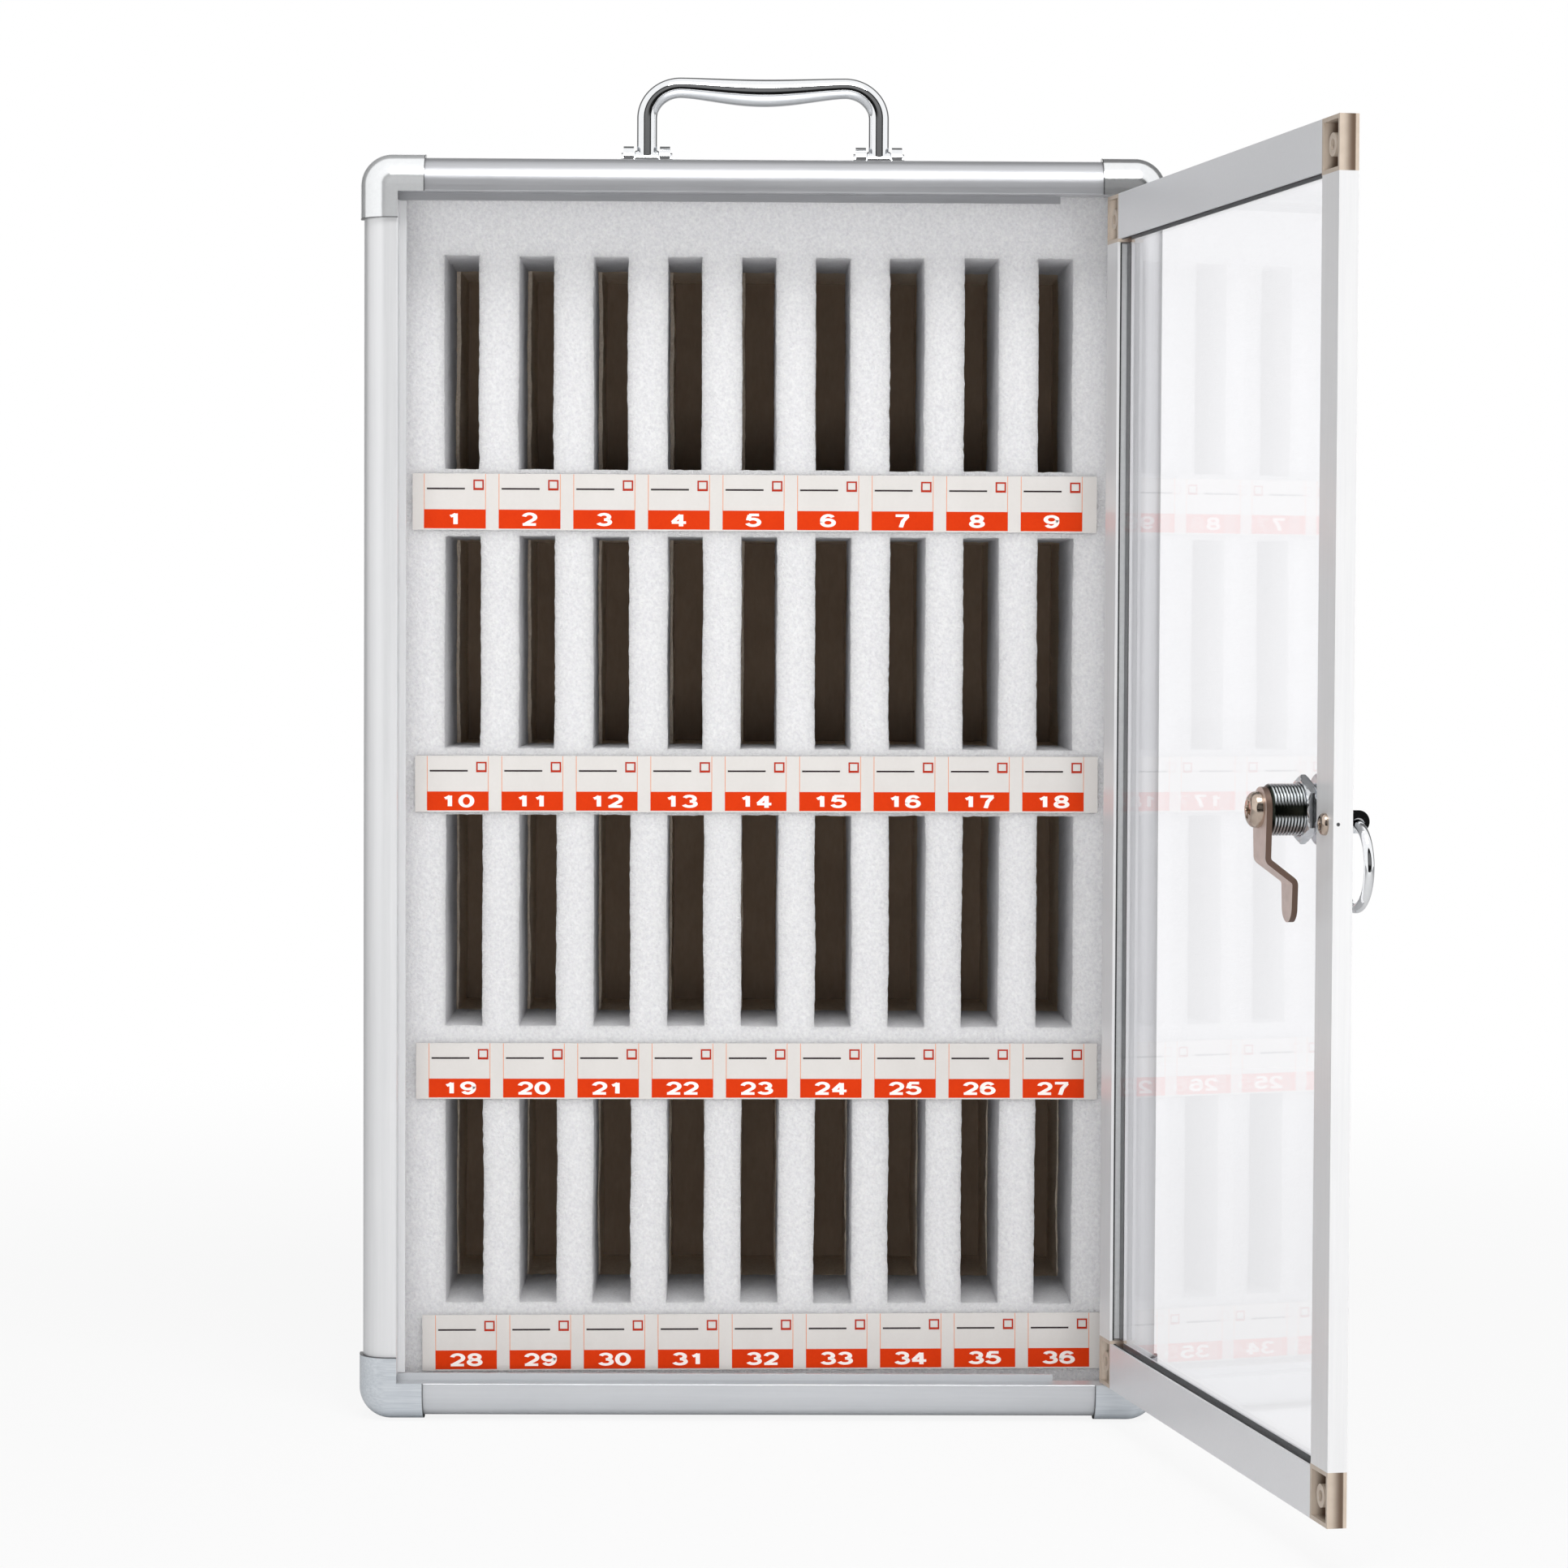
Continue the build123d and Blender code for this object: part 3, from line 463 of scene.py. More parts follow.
def cap_seam(finish):
    """1 at the ends of a cap's legs, where shade is painted at the step onto the bar; 0 elsewhere.
    """
    across = abs(finish.axis("X")) - CAP_END_ACROSS
    upward = abs(finish.axis("Z") - MIDDLE_HEIGHT) - CAP_END_UP
    marks = {n: 1 - past.stepped(0.0, PAINTED_SHADE_WIDE) for n, past in enumerate((across, upward))}
    return finish.node("ShaderNodeMath", {"operation": "MAXIMUM"}, marks).limited()


def polished_cap(name, metallic):
    """Bright plated steel, pressed to shape, with fine creases and painted shade at its ends."""
    finish = Finish(name, metallic=metallic)
    marks = finish.noise(0.0012, 4.0, 0.65, (1.0, 0.3, 1.0))
    waves = finish.noise(0.009, 2.0)
    colour = finish.blend(marks, tint(232, 234, 236), tint(248, 249, 250))
    # Painted shade: a dark line where the legs step onto the bar.
    colour = finish.blend(cap_seam(finish), colour, tint(60, 61, 64))
    finish.set(Base_Color=colour, Roughness=0.12 + marks * 0.06)
    finish.set(Normal=finish.bump(marks * 0.15 + waves, 0.00012, 0.6))
    return finish.material


def brushed_cap(name):
    """Satin plating with a diagonal brushed grain."""
    finish = Finish(name, metallic=0.55)
    slanted = finish.place((60, 1500, 1500), (0.2, 0.75, 0.2))
    grain = finish.node("ShaderNodeTexNoise", {}, {"Vector": slanted, "Scale": 1.0, "Detail": 3.0})
    cloud = finish.noise(0.009, 2.0)
    share = (grain * 0.8 + cloud * 0.2).limited()
    colour = finish.blend(share, tint(178, 186, 194), tint(240, 244, 248))
    # Painted shade: the same dark line at the legs' ends.
    colour = finish.blend(cap_seam(finish), colour, tint(50, 51, 54))
    finish.set(Base_Color=colour, Roughness=0.24 + grain * 0.2)
    finish.set(Normal=finish.bump(grain, 0.00005, 0.8))
    return finish.material


CAP_TOP = polished_cap("polished_cap", 0.6)
CAP_MIRROR = polished_cap("mirror_cap", 0.9)
CAP_BOTTOM = brushed_cap("brushed_cap")
print("made", ", ".join(cap.name for cap in (CAP_TOP, CAP_MIRROR, CAP_BOTTOM)))


# %% Bright plating
def polished_plate(name, colour, roughness):
    """Bright plating: it mirrors the room, with fine wipe marks."""
    finish = Finish(name, metallic=1.0)
    marks = finish.noise(0.0012, 4.0, 0.65, (1.0, 0.3, 1.0))
    finish.set(Base_Color=finish.blend(marks, colour, tint(250, 251, 252)))
    finish.set(Roughness=roughness + marks * 0.04, Normal=finish.bump(marks, 0.000004, 0.3))
    return finish.material


CHROME = polished_plate("polished_chrome", tint(238, 240, 243), 0.05)
print("made", CHROME.name)


# %% Worn steel
def worn_steel(name, colour, shade, roughness, metallic=1.0, edge=None, groove=None):
    """Bright steel, tool marks, mottled tone; side faces and grooves may get painted shade."""
    finish = Finish(name, metallic=metallic)
    mottle = finish.noise(0.003, 4.0, 0.6)
    fine = finish.noise(0.0005, 2.0)
    tone = finish.blend(mottle, shade, colour)
    # Painted shade: faces turned away from the door's face are darker.
    if edge:
        facing = finish.node("ShaderNodeTexCoord", {}, {}, "Normal")
        flat = abs(finish.vector("DOT_PRODUCT", facing, tuple(DOOR_INWARD), 1))
        tone = finish.blend(flat.stepped(0.3, 0.6), edge, tone)
    # Painted shade: the thread's roots are darker.
    if groove:
        axis_place, root, crest = groove
        spot = finish.vector("SUBTRACT", finish.place(), axis_place)
        off_axis = finish.vector("CROSS_PRODUCT", spot, tuple(DOOR_INWARD))
        radius = finish.vector("LENGTH", off_axis, output=1)
        tone = finish.blend(radius.stepped(root, crest), tint(44, 48, 42), tone)
    finish.set(Base_Color=tone, Roughness=roughness - 0.05 + fine * 0.15)
    finish.set(Normal=finish.bump(fine, 0.00002, 0.5))
    return finish.material


LOCK_PLACE = (220.3, 209.9)
# Painted shade in the thread's roots: the axis, and the radii from root to crest.
THREAD_ROOT_SHADE = (tuple(on_door(*LOCK_PLACE, 0)), 0.00735, 0.00765)
# Painted shade for the cam's side faces.
CAM_SIDE_SHADE = tint(104, 84, 74)
PALE_STEEL = tint(240, 242, 244)
PALE_THREAD = tint(236, 239, 242)

STEEL = worn_steel("bright_steel", PALE_STEEL, tint(196, 200, 204), 0.14)
THREADED = worn_steel("threaded_steel", PALE_THREAD, tint(190, 195, 200), 0.18, groove=THREAD_ROOT_SHADE)
NICKEL = worn_steel("warm_nickel", tint(226, 210, 196), tint(160, 140, 124), 0.16)
CAM_PLATE = worn_steel("cam_plate", tint(232, 216, 209), tint(204, 185, 177), 0.4, 0.45, CAM_SIDE_SHADE)
print("made", ", ".join(metal.name for metal in (STEEL, THREADED, NICKEL, CAM_PLATE)))

# %% [markdown]
# ## Boards, foam, plastic and rubber
# The walls are thin boards faced with silver foil, which has a fine leather-like emboss. The foam
# is expanded: thousands of small bubbles catch the light as grains, so its finish is a soft noise
# in colour and a strong fine bump. Modelling the bubbles would cost millions of faces and look the
# same. The moulded blocks in the door's corners are beige plastic, and rubber holds the pane.


# %% Silver-faced board
def foil_board():
    """Thin board faced with embossed silver foil."""
    finish = Finish("silver_foil_board", metallic=0.55)
    pores = finish.cells(900.0, {"feature": "DISTANCE_TO_EDGE"})
    cloud = finish.noise(0.03, 3.0)
    finish.set(Base_Color=finish.blend(cloud, tint(205, 207, 209), tint(222, 223, 225)))
    finish.set(Roughness=0.36 + cloud * 0.12, Normal=finish.bump(pores, 0.00008, 0.35))
    return finish.material


FOIL = foil_board()
print("made", FOIL.name)


# %% Expanded foam
def bubble_foam(name, pale, shade, bubble, glow):
    """Expanded foam: grains of bubbles, and light that soaks some way in."""
    finish = Finish(name, roughness=0.8)
    fine = finish.noise(bubble, 3.0, 0.75)
    cells = finish.cells(0.7 / bubble, {})
    grain = (fine * 2.2 - 0.75 + cells * 0.4).limited()
    cloud = finish.noise(0.018, 3.0)
    colour = finish.blend((grain * 0.85 + cloud * 0.15).limited(), shade, pale)
    finish.set(Base_Color=colour, Specular_IOR_Level=0.4)
    finish.set(Subsurface_Weight=1.0, Subsurface_Radius=(1, 1, 1), Subsurface_Scale=glow)
    finish.set(Normal=finish.bump(grain, bubble * 0.8, 0.9))
    return finish.material


WHITE_FOAM = bubble_foam("white_foam", tint(253, 253, 254), tint(226, 225, 229), 0.001, 0.01)
GREY_FOAM = bubble_foam("grey_foam", tint(254, 240, 222), tint(226, 206, 184), 0.0009, 0.0)
print("made", WHITE_FOAM.name, "and", GREY_FOAM.name)


# %% Hardboard and paper
def hardboard():
    """Brown pressed board with short fibres."""
    finish = Finish("brown_hardboard", roughness=0.75)
    fibre = finish.noise(0.0016, 4.0, 0.7, (1.0, 1.0, 0.35))
    stain = finish.noise(0.02, 3.0)
    shade = (fibre * 0.5 + stain * 0.5).limited()
    finish.set(Base_Color=finish.blend(shade, tint(128, 108, 90), tint(176, 156, 136)))
    finish.set(Normal=finish.bump(fibre, 0.0001, 0.5))
    return finish.material


def label_paper():
    """Off-white printed paper with faint creases."""
    finish = Finish("label_paper", roughness=0.55)
    finish.set(Specular_IOR_Level=0.25)
    crease = finish.noise(0.012, 3.0, 0.6, (1.0, 1.0, 0.4))
    fibre = finish.noise(0.0008, 2.0)
    share = (crease * 0.7 + fibre * 0.3).limited()
    finish.set(Base_Color=finish.blend(share, tint(208, 204, 200), tint(222, 219, 216)))
    finish.set(Normal=finish.bump(crease, 0.0003, 0.35))
    return finish.material


HARDBOARD = hardboard()
PAPER = label_paper()
print("made", HARDBOARD.name, "and", PAPER.name)

# %% Plastic and rubber
RECESS_FLOOR = -0.0017
RECESS_MOUTH = 0.0022
PANE_SIDE = 0.00148


def beige_plastic():
    """Moulded beige plastic, with painted shade in the depth of its recess."""
    finish = Finish("beige_plastic")
    mottle = finish.noise(0.004, 3.0)
    grit = finish.noise(0.0006, 2.0)
    tone = finish.blend(mottle, tint(182, 167, 152), tint(204, 190, 175))
    depth = depth_in_door(finish)
    deep = 1 - depth.stepped(-0.0012, RECESS_MOUTH)
    recess_shade = deep * depth.stepped(RECESS_FLOOR - 0.0004, RECESS_FLOOR)
    # Painted shade: the floor of the recess is darker.
    finish.set(Base_Color=finish.blend(recess_shade, tone, tint(96, 78, 64)))
    finish.set(Roughness=0.38 + grit * 0.15, Normal=finish.bump(grit, 0.00004, 0.5))
    return finish.material


def black_rubber():
    """Rubber with dust in its pores: black at the lips, painted light where the pane's edge sits.
    """
    finish = Finish("black_rubber", roughness=0.7)
    dust = finish.noise(0.0015, 3.0, 0.6)
    lip = abs(depth_in_door(finish)).stepped(PANE_SIDE, PANE_SIDE + 0.00006)
    dark = finish.blend(dust, tint(26, 26, 27), tint(58, 58, 60))
    # Painted light: the rubber is painted pale where the pane's edge sits.
    pale = finish.blend(dust, tint(206, 208, 208), tint(226, 228, 228))
    finish.set(Base_Color=finish.blend(lip, pale, dark), Normal=finish.bump(dust, 0.00005, 0.4))
    return finish.material


PLASTIC = beige_plastic()
RUBBER = black_rubber()
print("made", PLASTIC.name, "and", RUBBER.name)

# %% [markdown]
# ## The clear pane
# Acrylic sheet is nearly invisible head on and mirrors the room at a slant. A glass shader would
# bend every ray twice, so the pane is a mix instead: mostly transparent, with a thin glossy coat
# whose share grows at a slant.

# %% Pane
PANE_MIRROR = 0.17


def clear_sheet():
    """A clear sheet: see-through, with a slanting mirror that never grows strong."""
    finish = Finish("clear_acrylic")
    haze = finish.noise(0.02, 2.0)
    finish.set(Base_Color=tint(250, 252, 253), Roughness=0.02 + haze * 0.03, IOR=1.45)
    clear = finish.node("ShaderNodeBsdfTransparent", {}, {"Color": tint(254, 254, 255)})
    slant = finish.node("ShaderNodeFresnel", {}, {"IOR": 1.4})
    mirror = finish.node("ShaderNodeBsdfGlossy", {}, {"Color": (1, 1, 1, 1), "Roughness": 0.02})
    sheet = finish.node("ShaderNodeMixShader", {}, {0: slant * PANE_MIRROR, 1: clear, 2: mirror})
    finish.surface(sheet)
    return finish.material


PANE = clear_sheet()
print("made", PANE.name)

# %% [markdown]
# ## Giving each piece its finish
# The pieces of the frame keep their meshes, so dressing one is only a matter of swapping the
# material in its slot. A table of name beginnings does it for all of them.

# %% Dress the pieces
DRESS = (
    ("front_post", POST),
    ("rear_post", POST),
    ("front_rail_top", TOP_RAIL),
    ("rear_rail_top", TOP_RAIL),
    ("front_rail_bottom", LOW_RAIL),
    ("rear_rail_bottom", LOW_RAIL),
    ("depth_edge", DEPTH_BAR),
    ("corner_cap_front_right_top", CAP_MIRROR),
    ("side_panel", FOIL),
    ("bottom_panel", FOIL),
    ("top_panel", FOIL),
    ("back_panel", FOIL),
    ("backing_board", HARDBOARD),
    ("foam_front", WHITE_FOAM),
    ("foam_rear", GREY_FOAM),
    ("label_strip", PAPER),
    ("door_stile", STILE),
    ("door_rail", DOOR_RAIL),
    ("door_block", PLASTIC),
    ("door_pane", PANE),
    ("pane_gasket", RUBBER),
    ("pivot", STEEL),
    ("lock_body", STEEL),
    ("lock_nut", STEEL),
    ("lock_plug", STEEL),
    ("lock_cam", CAM_PLATE),
    ("cam_washer", NICKEL),
    ("cam_screw", NICKEL),
    ("ring_eye", CHROME),
    ("pull_ring", CHROME),
    ("ring_screw", NICKEL),
    ("carry_handle", CHROME),
    ("handle_bracket", CHROME),
    ("handle_pins", CHROME),
    ("bracket_rivets", CHROME),
)


def finish_of(name):
    """The finish of a piece, from the beginning of its name."""
    table = (*DRESS, ("corner_cap", CAP_TOP if name.endswith("top") else CAP_BOTTOM))
    return next(finish for start, finish in table if name.startswith(start))


for name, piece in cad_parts.items():
    piece.data.materials.clear()
    piece.data.materials.append(finish_of(name))
print("dressed pieces:", len(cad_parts))

# %% [markdown]
# ## New pieces
# The foam, the lock's turned parts, the handle, the seal and the print are finer than the
# construction has them, so they are built here as meshes. Each of them ends the same way: the mesh
# becomes a piece with a finish, it rides on a body of the locker, and where it is finer than a
# piece of the construction, it takes that piece's place. One function does all of that.

# %% A piece from a mesh
def new_piece(name, mesh, finish, body, stands_for=None, sharp=None):
    """Makes a mesh a piece that rides on a body. Edges over the sharp angle stay crisp."""
    data = bpy.data.meshes.new(name)
    mesh.to_mesh(data)
    mesh.free()
    data.materials.append(finish)
    if sharp:
        data.shade_smooth()
        data.set_sharp_from_angle(angle=math.radians(sharp))
    piece = bpy.data.objects.new(name, data)
    bpy.context.scene.collection.objects.link(piece)
    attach(piece, body)
    if stands_for:
        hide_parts(stands_for)
    return piece


def bridge(mesh, first, second):
    """A band of faces between two rings of points."""
    for n in range(len(first)):
        m = (n + 1) % len(first)
        mesh.faces.new((first[n], first[m], second[m], second[n]))


def face_outward(mesh):
    """Turns every face of a closed mesh outward."""
    bmesh.ops.recalc_face_normals(mesh, faces=mesh.faces)


print("piece helpers ready")

# %% [markdown]
# ## The foam
# Each of the two foam layers is a slab with 36 long slots cut through it by hand. A slab with
# holes could be a Boolean, but that leaves huge flat faces that can't be softened. Here the slab
# is laid from small squares, row by row: patches of foam before, between and after the slots, the
# four walls of each slot, and plain bands between the rows. Noise then moves the cut edges by a
# fraction of a millimetre, as a hot wire leaves them. Left alone, that noise takes its start from
# the clock, so it is given a seed, and the foam comes out the same each time.

# %% Slots
SLOT_TALL = 74.8
PITCH_X = 26.1
PITCH_Z = 98.2
COLUMNS = 9
ROWS = 4
MIDDLE_Z = 222.8
FRONT_WIDTHS = (12.1, 12.6, 13.0, 13.3)
FRONT_SHIFTS = (-1.45, -0.95, -0.5, -0.1)
REAR_WIDTHS = (12.3, 12.3, 12.3, 12.3)
REAR_SHIFTS = (0, 0, 0, 0)


def row_middle(row):
    """The height of the middle of a row of slots, in millimetres, from the top row down."""
    return MIDDLE_Z + PITCH_Z * ((ROWS - 1) / 2 - row)


def slot_spans(width, shift):
    """The left and right edge of each slot in a row, in millimetres."""
    middles = [shift + PITCH_X * (column - (COLUMNS - 1) / 2) for column in range(COLUMNS)]
    return [(middle - width / 2, middle + width / 2) for middle in middles]


def evenly(low, high, parts):
    """Marks that divide the way from low to high, both included, into equal parts."""
    return [low + (high - low) * part / parts for part in range(parts + 1)]


print("middles of the rows:", [round(row_middle(row), 1) for row in range(ROWS)])


# %% A slab with slots
END_PARTS = 20
NEAR = 0.01
WAVE_COARSE = 0.035
WAVE_FINE = 0.8
DENT = 0.3


class Slab:
    """A foam slab that is built row by row from a grid whose lines follow the slots' edges."""

    def __init__(self, node, widths, shifts, step, deep_parts):
        self.low, self.high = (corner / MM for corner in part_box(node))
        self.widths = widths
        self.shifts = shifts
        self.step = step
        self.ys = evenly(self.low.y, self.high.y, deep_parts)
        self.mesh = bmesh.new()

    def quad(self, *corners):
        """One square of the grid. Corners that meet are joined at the end."""
        self.mesh.faces.new([self.mesh.verts.new(corner) for corner in corners])

    def columns(self, row):
        """The edges across a row, foam and slot by turns, and the squares between them."""
        spans = slot_spans(self.widths[row], self.shifts[row])
        edges = [self.low.x, *[edge for span in spans for edge in span], self.high.x]
        counts = [max(2, round((b - a) / self.step)) for a, b in zip(edges, edges[1:])]
        return edges, counts

    def face_patch(self, x0, x1, count, z0, z1, z_parts):
        """The front and back faces of a block of foam."""
        xs = evenly(x0, x1, count)
        zs = evenly(z0, z1, z_parts)
        front, back = self.ys[0], self.ys[-1]
        for a, b in zip(xs, xs[1:]):
            for c, d in zip(zs, zs[1:]):
                self.quad((a, front, c), (b, front, c), (b, front, d), (a, front, d))
                self.quad((a, back, c), (a, back, d), (b, back, d), (b, back, c))

    def upright_wall(self, x, z0, z1, z_parts, faces_right):
        """A wall square to X, such as the side of a slot."""
        zs = evenly(z0, z1, z_parts)
        for c, d in zip(zs, zs[1:]):
            for near, far in zip(self.ys, self.ys[1:]):
                corners = [(x, near, c), (x, far, c), (x, far, d), (x, near, d)]
                self.quad(*(corners if faces_right else corners[::-1]))

    def level_wall(self, z, x0, x1, count, faces_up):
        """A wall square to Z, such as the end of a slot."""
        xs = evenly(x0, x1, count)
        for a, b in zip(xs, xs[1:]):
            for near, far in zip(self.ys, self.ys[1:]):
                corners = [(a, near, z), (b, near, z), (b, far, z), (a, far, z)]
                self.quad(*(corners if faces_up else corners[::-1]))

    def slot_row(self, row):
        """The foam between and beside the slots of one row, with the slots' walls."""
        edges, counts = self.columns(row)
        z0, z1 = row_middle(row) - SLOT_TALL / 2, row_middle(row) + SLOT_TALL / 2
        z_parts = round(SLOT_TALL / self.step)
        for n, (a, b, count) in enumerate(zip(edges, edges[1:], counts)):
            is_slot = n % 2
            if is_slot:
                self.level_wall(z0, a, b, count, True)
                self.level_wall(z1, a, b, count, False)
                self.upright_wall(a, z0, z1, z_parts, True)
                self.upright_wall(b, z0, z1, z_parts, False)
            else:
                self.face_patch(a, b, count, z0, z1, z_parts)
        self.outer_sides(z0, z1, z_parts)

    def outer_sides(self, z0, z1, z_parts):
        """The slab's left and right sides over a height."""
        self.upright_wall(self.low.x, z0, z1, z_parts, False)
        self.upright_wall(self.high.x, z0, z1, z_parts, True)

    def band(self, z0, z1, rows_beside):
        """A level band of foam with no slots, whose grid meets the rows above and below."""
        parts = max(2, round((z1 - z0) / self.step))
        if len(rows_beside) == 2:
            middle = (z0 + z1) / 2
            halves = ((z0, middle, rows_beside[0]), (middle, z1, rows_beside[1]))
            parts = max(1, parts // 2)
        else:
            halves = ((z0, z1, rows_beside[0]),)
        for bottom, top, row in halves:
            edges, counts = self.columns(row)
            for a, b, count in zip(edges, edges[1:], counts):
                self.face_patch(a, b, count, bottom, top, parts)
        self.outer_sides(z0, z1, parts)

    def build(self, ragged):
        """Joins the rows and bands to one mesh, roughens the cuts and gives it in metres."""
        half = SLOT_TALL / 2
        for row in range(ROWS):
            self.slot_row(row)
            below = self.low.z if row == ROWS - 1 else row_middle(row + 1) + half
            beside = (row,) if row == ROWS - 1 else (row + 1, row)
            self.band(below, row_middle(row) - half, beside)
        self.band(row_middle(0) + half, self.high.z, (0,))
        self.level_wall(self.low.z, self.low.x, self.high.x, END_PARTS, False)
        self.level_wall(self.high.z, self.low.x, self.high.x, END_PARTS, True)
        bmesh.ops.remove_doubles(self.mesh, verts=self.mesh.verts, dist=NEAR)
        self.roughen(ragged)
        for v in self.mesh.verts:
            v.co *= MM
        return self.mesh

    def roughen(self, ragged):
        """Moves the cut walls a little in and out, and dents the front, inside the slab's box."""
        for v in self.mesh.verts:
            at_side = v.co.x < self.low.x + NEAR or v.co.x > self.high.x - NEAR
            at_end = v.co.z < self.low.z + NEAR or v.co.z > self.high.z - NEAR
            if at_side or at_end:
                continue
            wave = noise.noise_vector(v.co * WAVE_COARSE)
            bead = noise.noise_vector(v.co * WAVE_FINE)
            v.co.x += (wave.x * 0.9 + bead.x * 0.7) * ragged
            v.co.z += (wave.z * 0.6 + bead.z * 0.7) * ragged
            if v.co.y < self.low.y + NEAR:
                v.co.y += DENT * abs(bead.y)


print("slots per layer:", ROWS * COLUMNS)


# %% Lay both layers in
FOAM_STEP = 1.9
FOAM_SEED = 1795482636


def lay_foam(name, node, slab, finish, ragged):
    """Builds one layer and puts it in the place of its node."""
    layer = new_piece(name, slab.build(ragged), finish, "case", node)
    print(name, "faces:", len(layer.data.polygons))


noise.seed_set(FOAM_SEED)
front_slab = Slab("foam_front", FRONT_WIDTHS, FRONT_SHIFTS, FOAM_STEP, 12)
lay_foam("foam_layer_white", "foam_front", front_slab, WHITE_FOAM, 0.45)
rear_slab = Slab("foam_rear", REAR_WIDTHS, REAR_SHIFTS, 2 * FOAM_STEP, 6)
lay_foam("foam_layer_grey", "foam_rear", rear_slab, GREY_FOAM, 0.6)

# %% [markdown]
# ## Threads, nut and screws
# Close up, a cam lock is read from its thread, the chamfers of its nut and the crosses in its
# screws. A thread could be a picture of lines, but its outline would stay smooth. All of these
# parts are laid as rings of points about an axis instead, with a radius that may change with the
# angle. The thread is a radius that rises and falls with the height and the angle together, cut
# off where the barrel has its flats, and the nut is the radius of a hexagon held inside a cone.

# %% Turning on the door
TURN_COUNT = 96


def at_angle(measure, angle):
    """A measure that may change with the angle, as a number."""
    return measure(angle) if callable(measure) else measure


def door_ring(mesh, place, across, radius):
    """A ring of points about an axis square to the door, so far across it."""
    ring = []
    for n in range(TURN_COUNT):
        angle = 2 * math.pi * n / TURN_COUNT
        r = at_angle(radius, angle)
        side, rise = r * math.cos(angle), r * math.sin(angle)
        spot = on_door(place[0] + side, place[1] + rise, at_angle(across, angle))
        ring.append(mesh.verts.new(spot))
    return ring


def turned(name, rings, finish, node):
    """A hollow part of the lock, turned from rings: each is its distance across and its radius."""
    mesh = bmesh.new()
    loops = [door_ring(mesh, LOCK_PLACE, across, radius) for across, radius in rings]
    for first, second in zip(loops, loops[1:] + loops[:1]):
        bridge(mesh, first, second)
    face_outward(mesh)
    piece = new_piece(name, mesh, finish, "door", node, sharp=35)
    print(name, "faces:", len(piece.data.polygons))


# %% Threaded barrel
BARREL_RADIUS = 7.8
BARREL_FLAT = 7.25
BORE_RADIUS = 5.75
THREAD_PITCH = 1.0
THREAD_DEPTH = 0.5
BARREL_END = 14.5
END_CHAMFER = 0.45


def threaded(across):
    """The barrel's radius at a height, all round: a helical ridge, and two flats."""
    def radius(angle):
        turn = (across / THREAD_PITCH - angle / (2 * math.pi)) % 1
        groove = THREAD_DEPTH * abs(2 * turn - 1)
        flat = BARREL_FLAT / max(abs(math.cos(angle)), 0.01)
        return min(BARREL_RADIUS - groove, flat)
    return radius


def chamfered(angle):
    """The barrel's end, a little narrower than its thread."""
    return threaded(0)(angle) - END_CHAMFER


thread_rings = [(n / 8, threaded(n / 8)) for n in range(-12, round(8 * BARREL_END) - 3)]
flange_rings = [(-3.5, BORE_RADIUS), (-3.5, 9.75), (-3.3, 10.05), (-1.5, 10.7)]
end_rings = [(BARREL_END, chamfered), (BARREL_END, BORE_RADIUS)]
turned("threaded_barrel", flange_rings + thread_rings + end_rings, THREADED, "lock_body")

# %% Nut
NUT_FLATS = 18.0
NUT_LOW = 1.5
NUT_HIGH = 4.7


def six_sided(limit):
    """The radius of a hexagon with flats towards the door's edges, held inside a circle."""
    def radius(angle):
        turn = (angle + math.pi / 6) % (math.pi / 3) - math.pi / 6
        return min(NUT_FLATS / 2 / math.cos(turn), limit)
    return radius


cone = ((0.0, 9.0), (0.35, 9.6), (0.8, 10.3), (1.1, 10.5))
nut_rings = [(NUT_LOW, 7.9)]
nut_rings += [(NUT_LOW + rise, six_sided(limit)) for rise, limit in cone]
nut_rings += [(NUT_HIGH - rise, six_sided(limit)) for rise, limit in reversed(cone)]
nut_rings += [(NUT_HIGH, 8.3), (NUT_HIGH - 0.4, 7.9)]
turned("chamfered_nut", nut_rings, STEEL, "lock_nut")


# %% Screws with a cross
HEAD_RINGS = 44
CROSS_TURN = 0.3
CROSS_HALF_WIDE = 0.3
CROSS_DEEP = 0.42
CROWN_BULGE = 0.06


def dome_height(r, radius, tall, crown):
    """The height of a screw's head at a distance from its middle."""
    rim = r - (radius - crown)
    bulge = CROWN_BULGE * tall * (1 - (r / radius) ** 2)
    shoulder = tall * (1 - CROWN_BULGE) - crown
    return shoulder + bulge + (crown if rim <= 0 else math.sqrt(max(crown**2 - rim**2, 0)))


def in_cross(x, y, arm):
    """1 inside the cross, 0 outside, with a narrow slope between."""
    narrow, wide = sorted((abs(x), abs(y)))
    beside = min(1, max(0, (arm * CROSS_HALF_WIDE - narrow) / 0.12))
    return beside * min(1, max(0, (arm - wide) / 0.3))


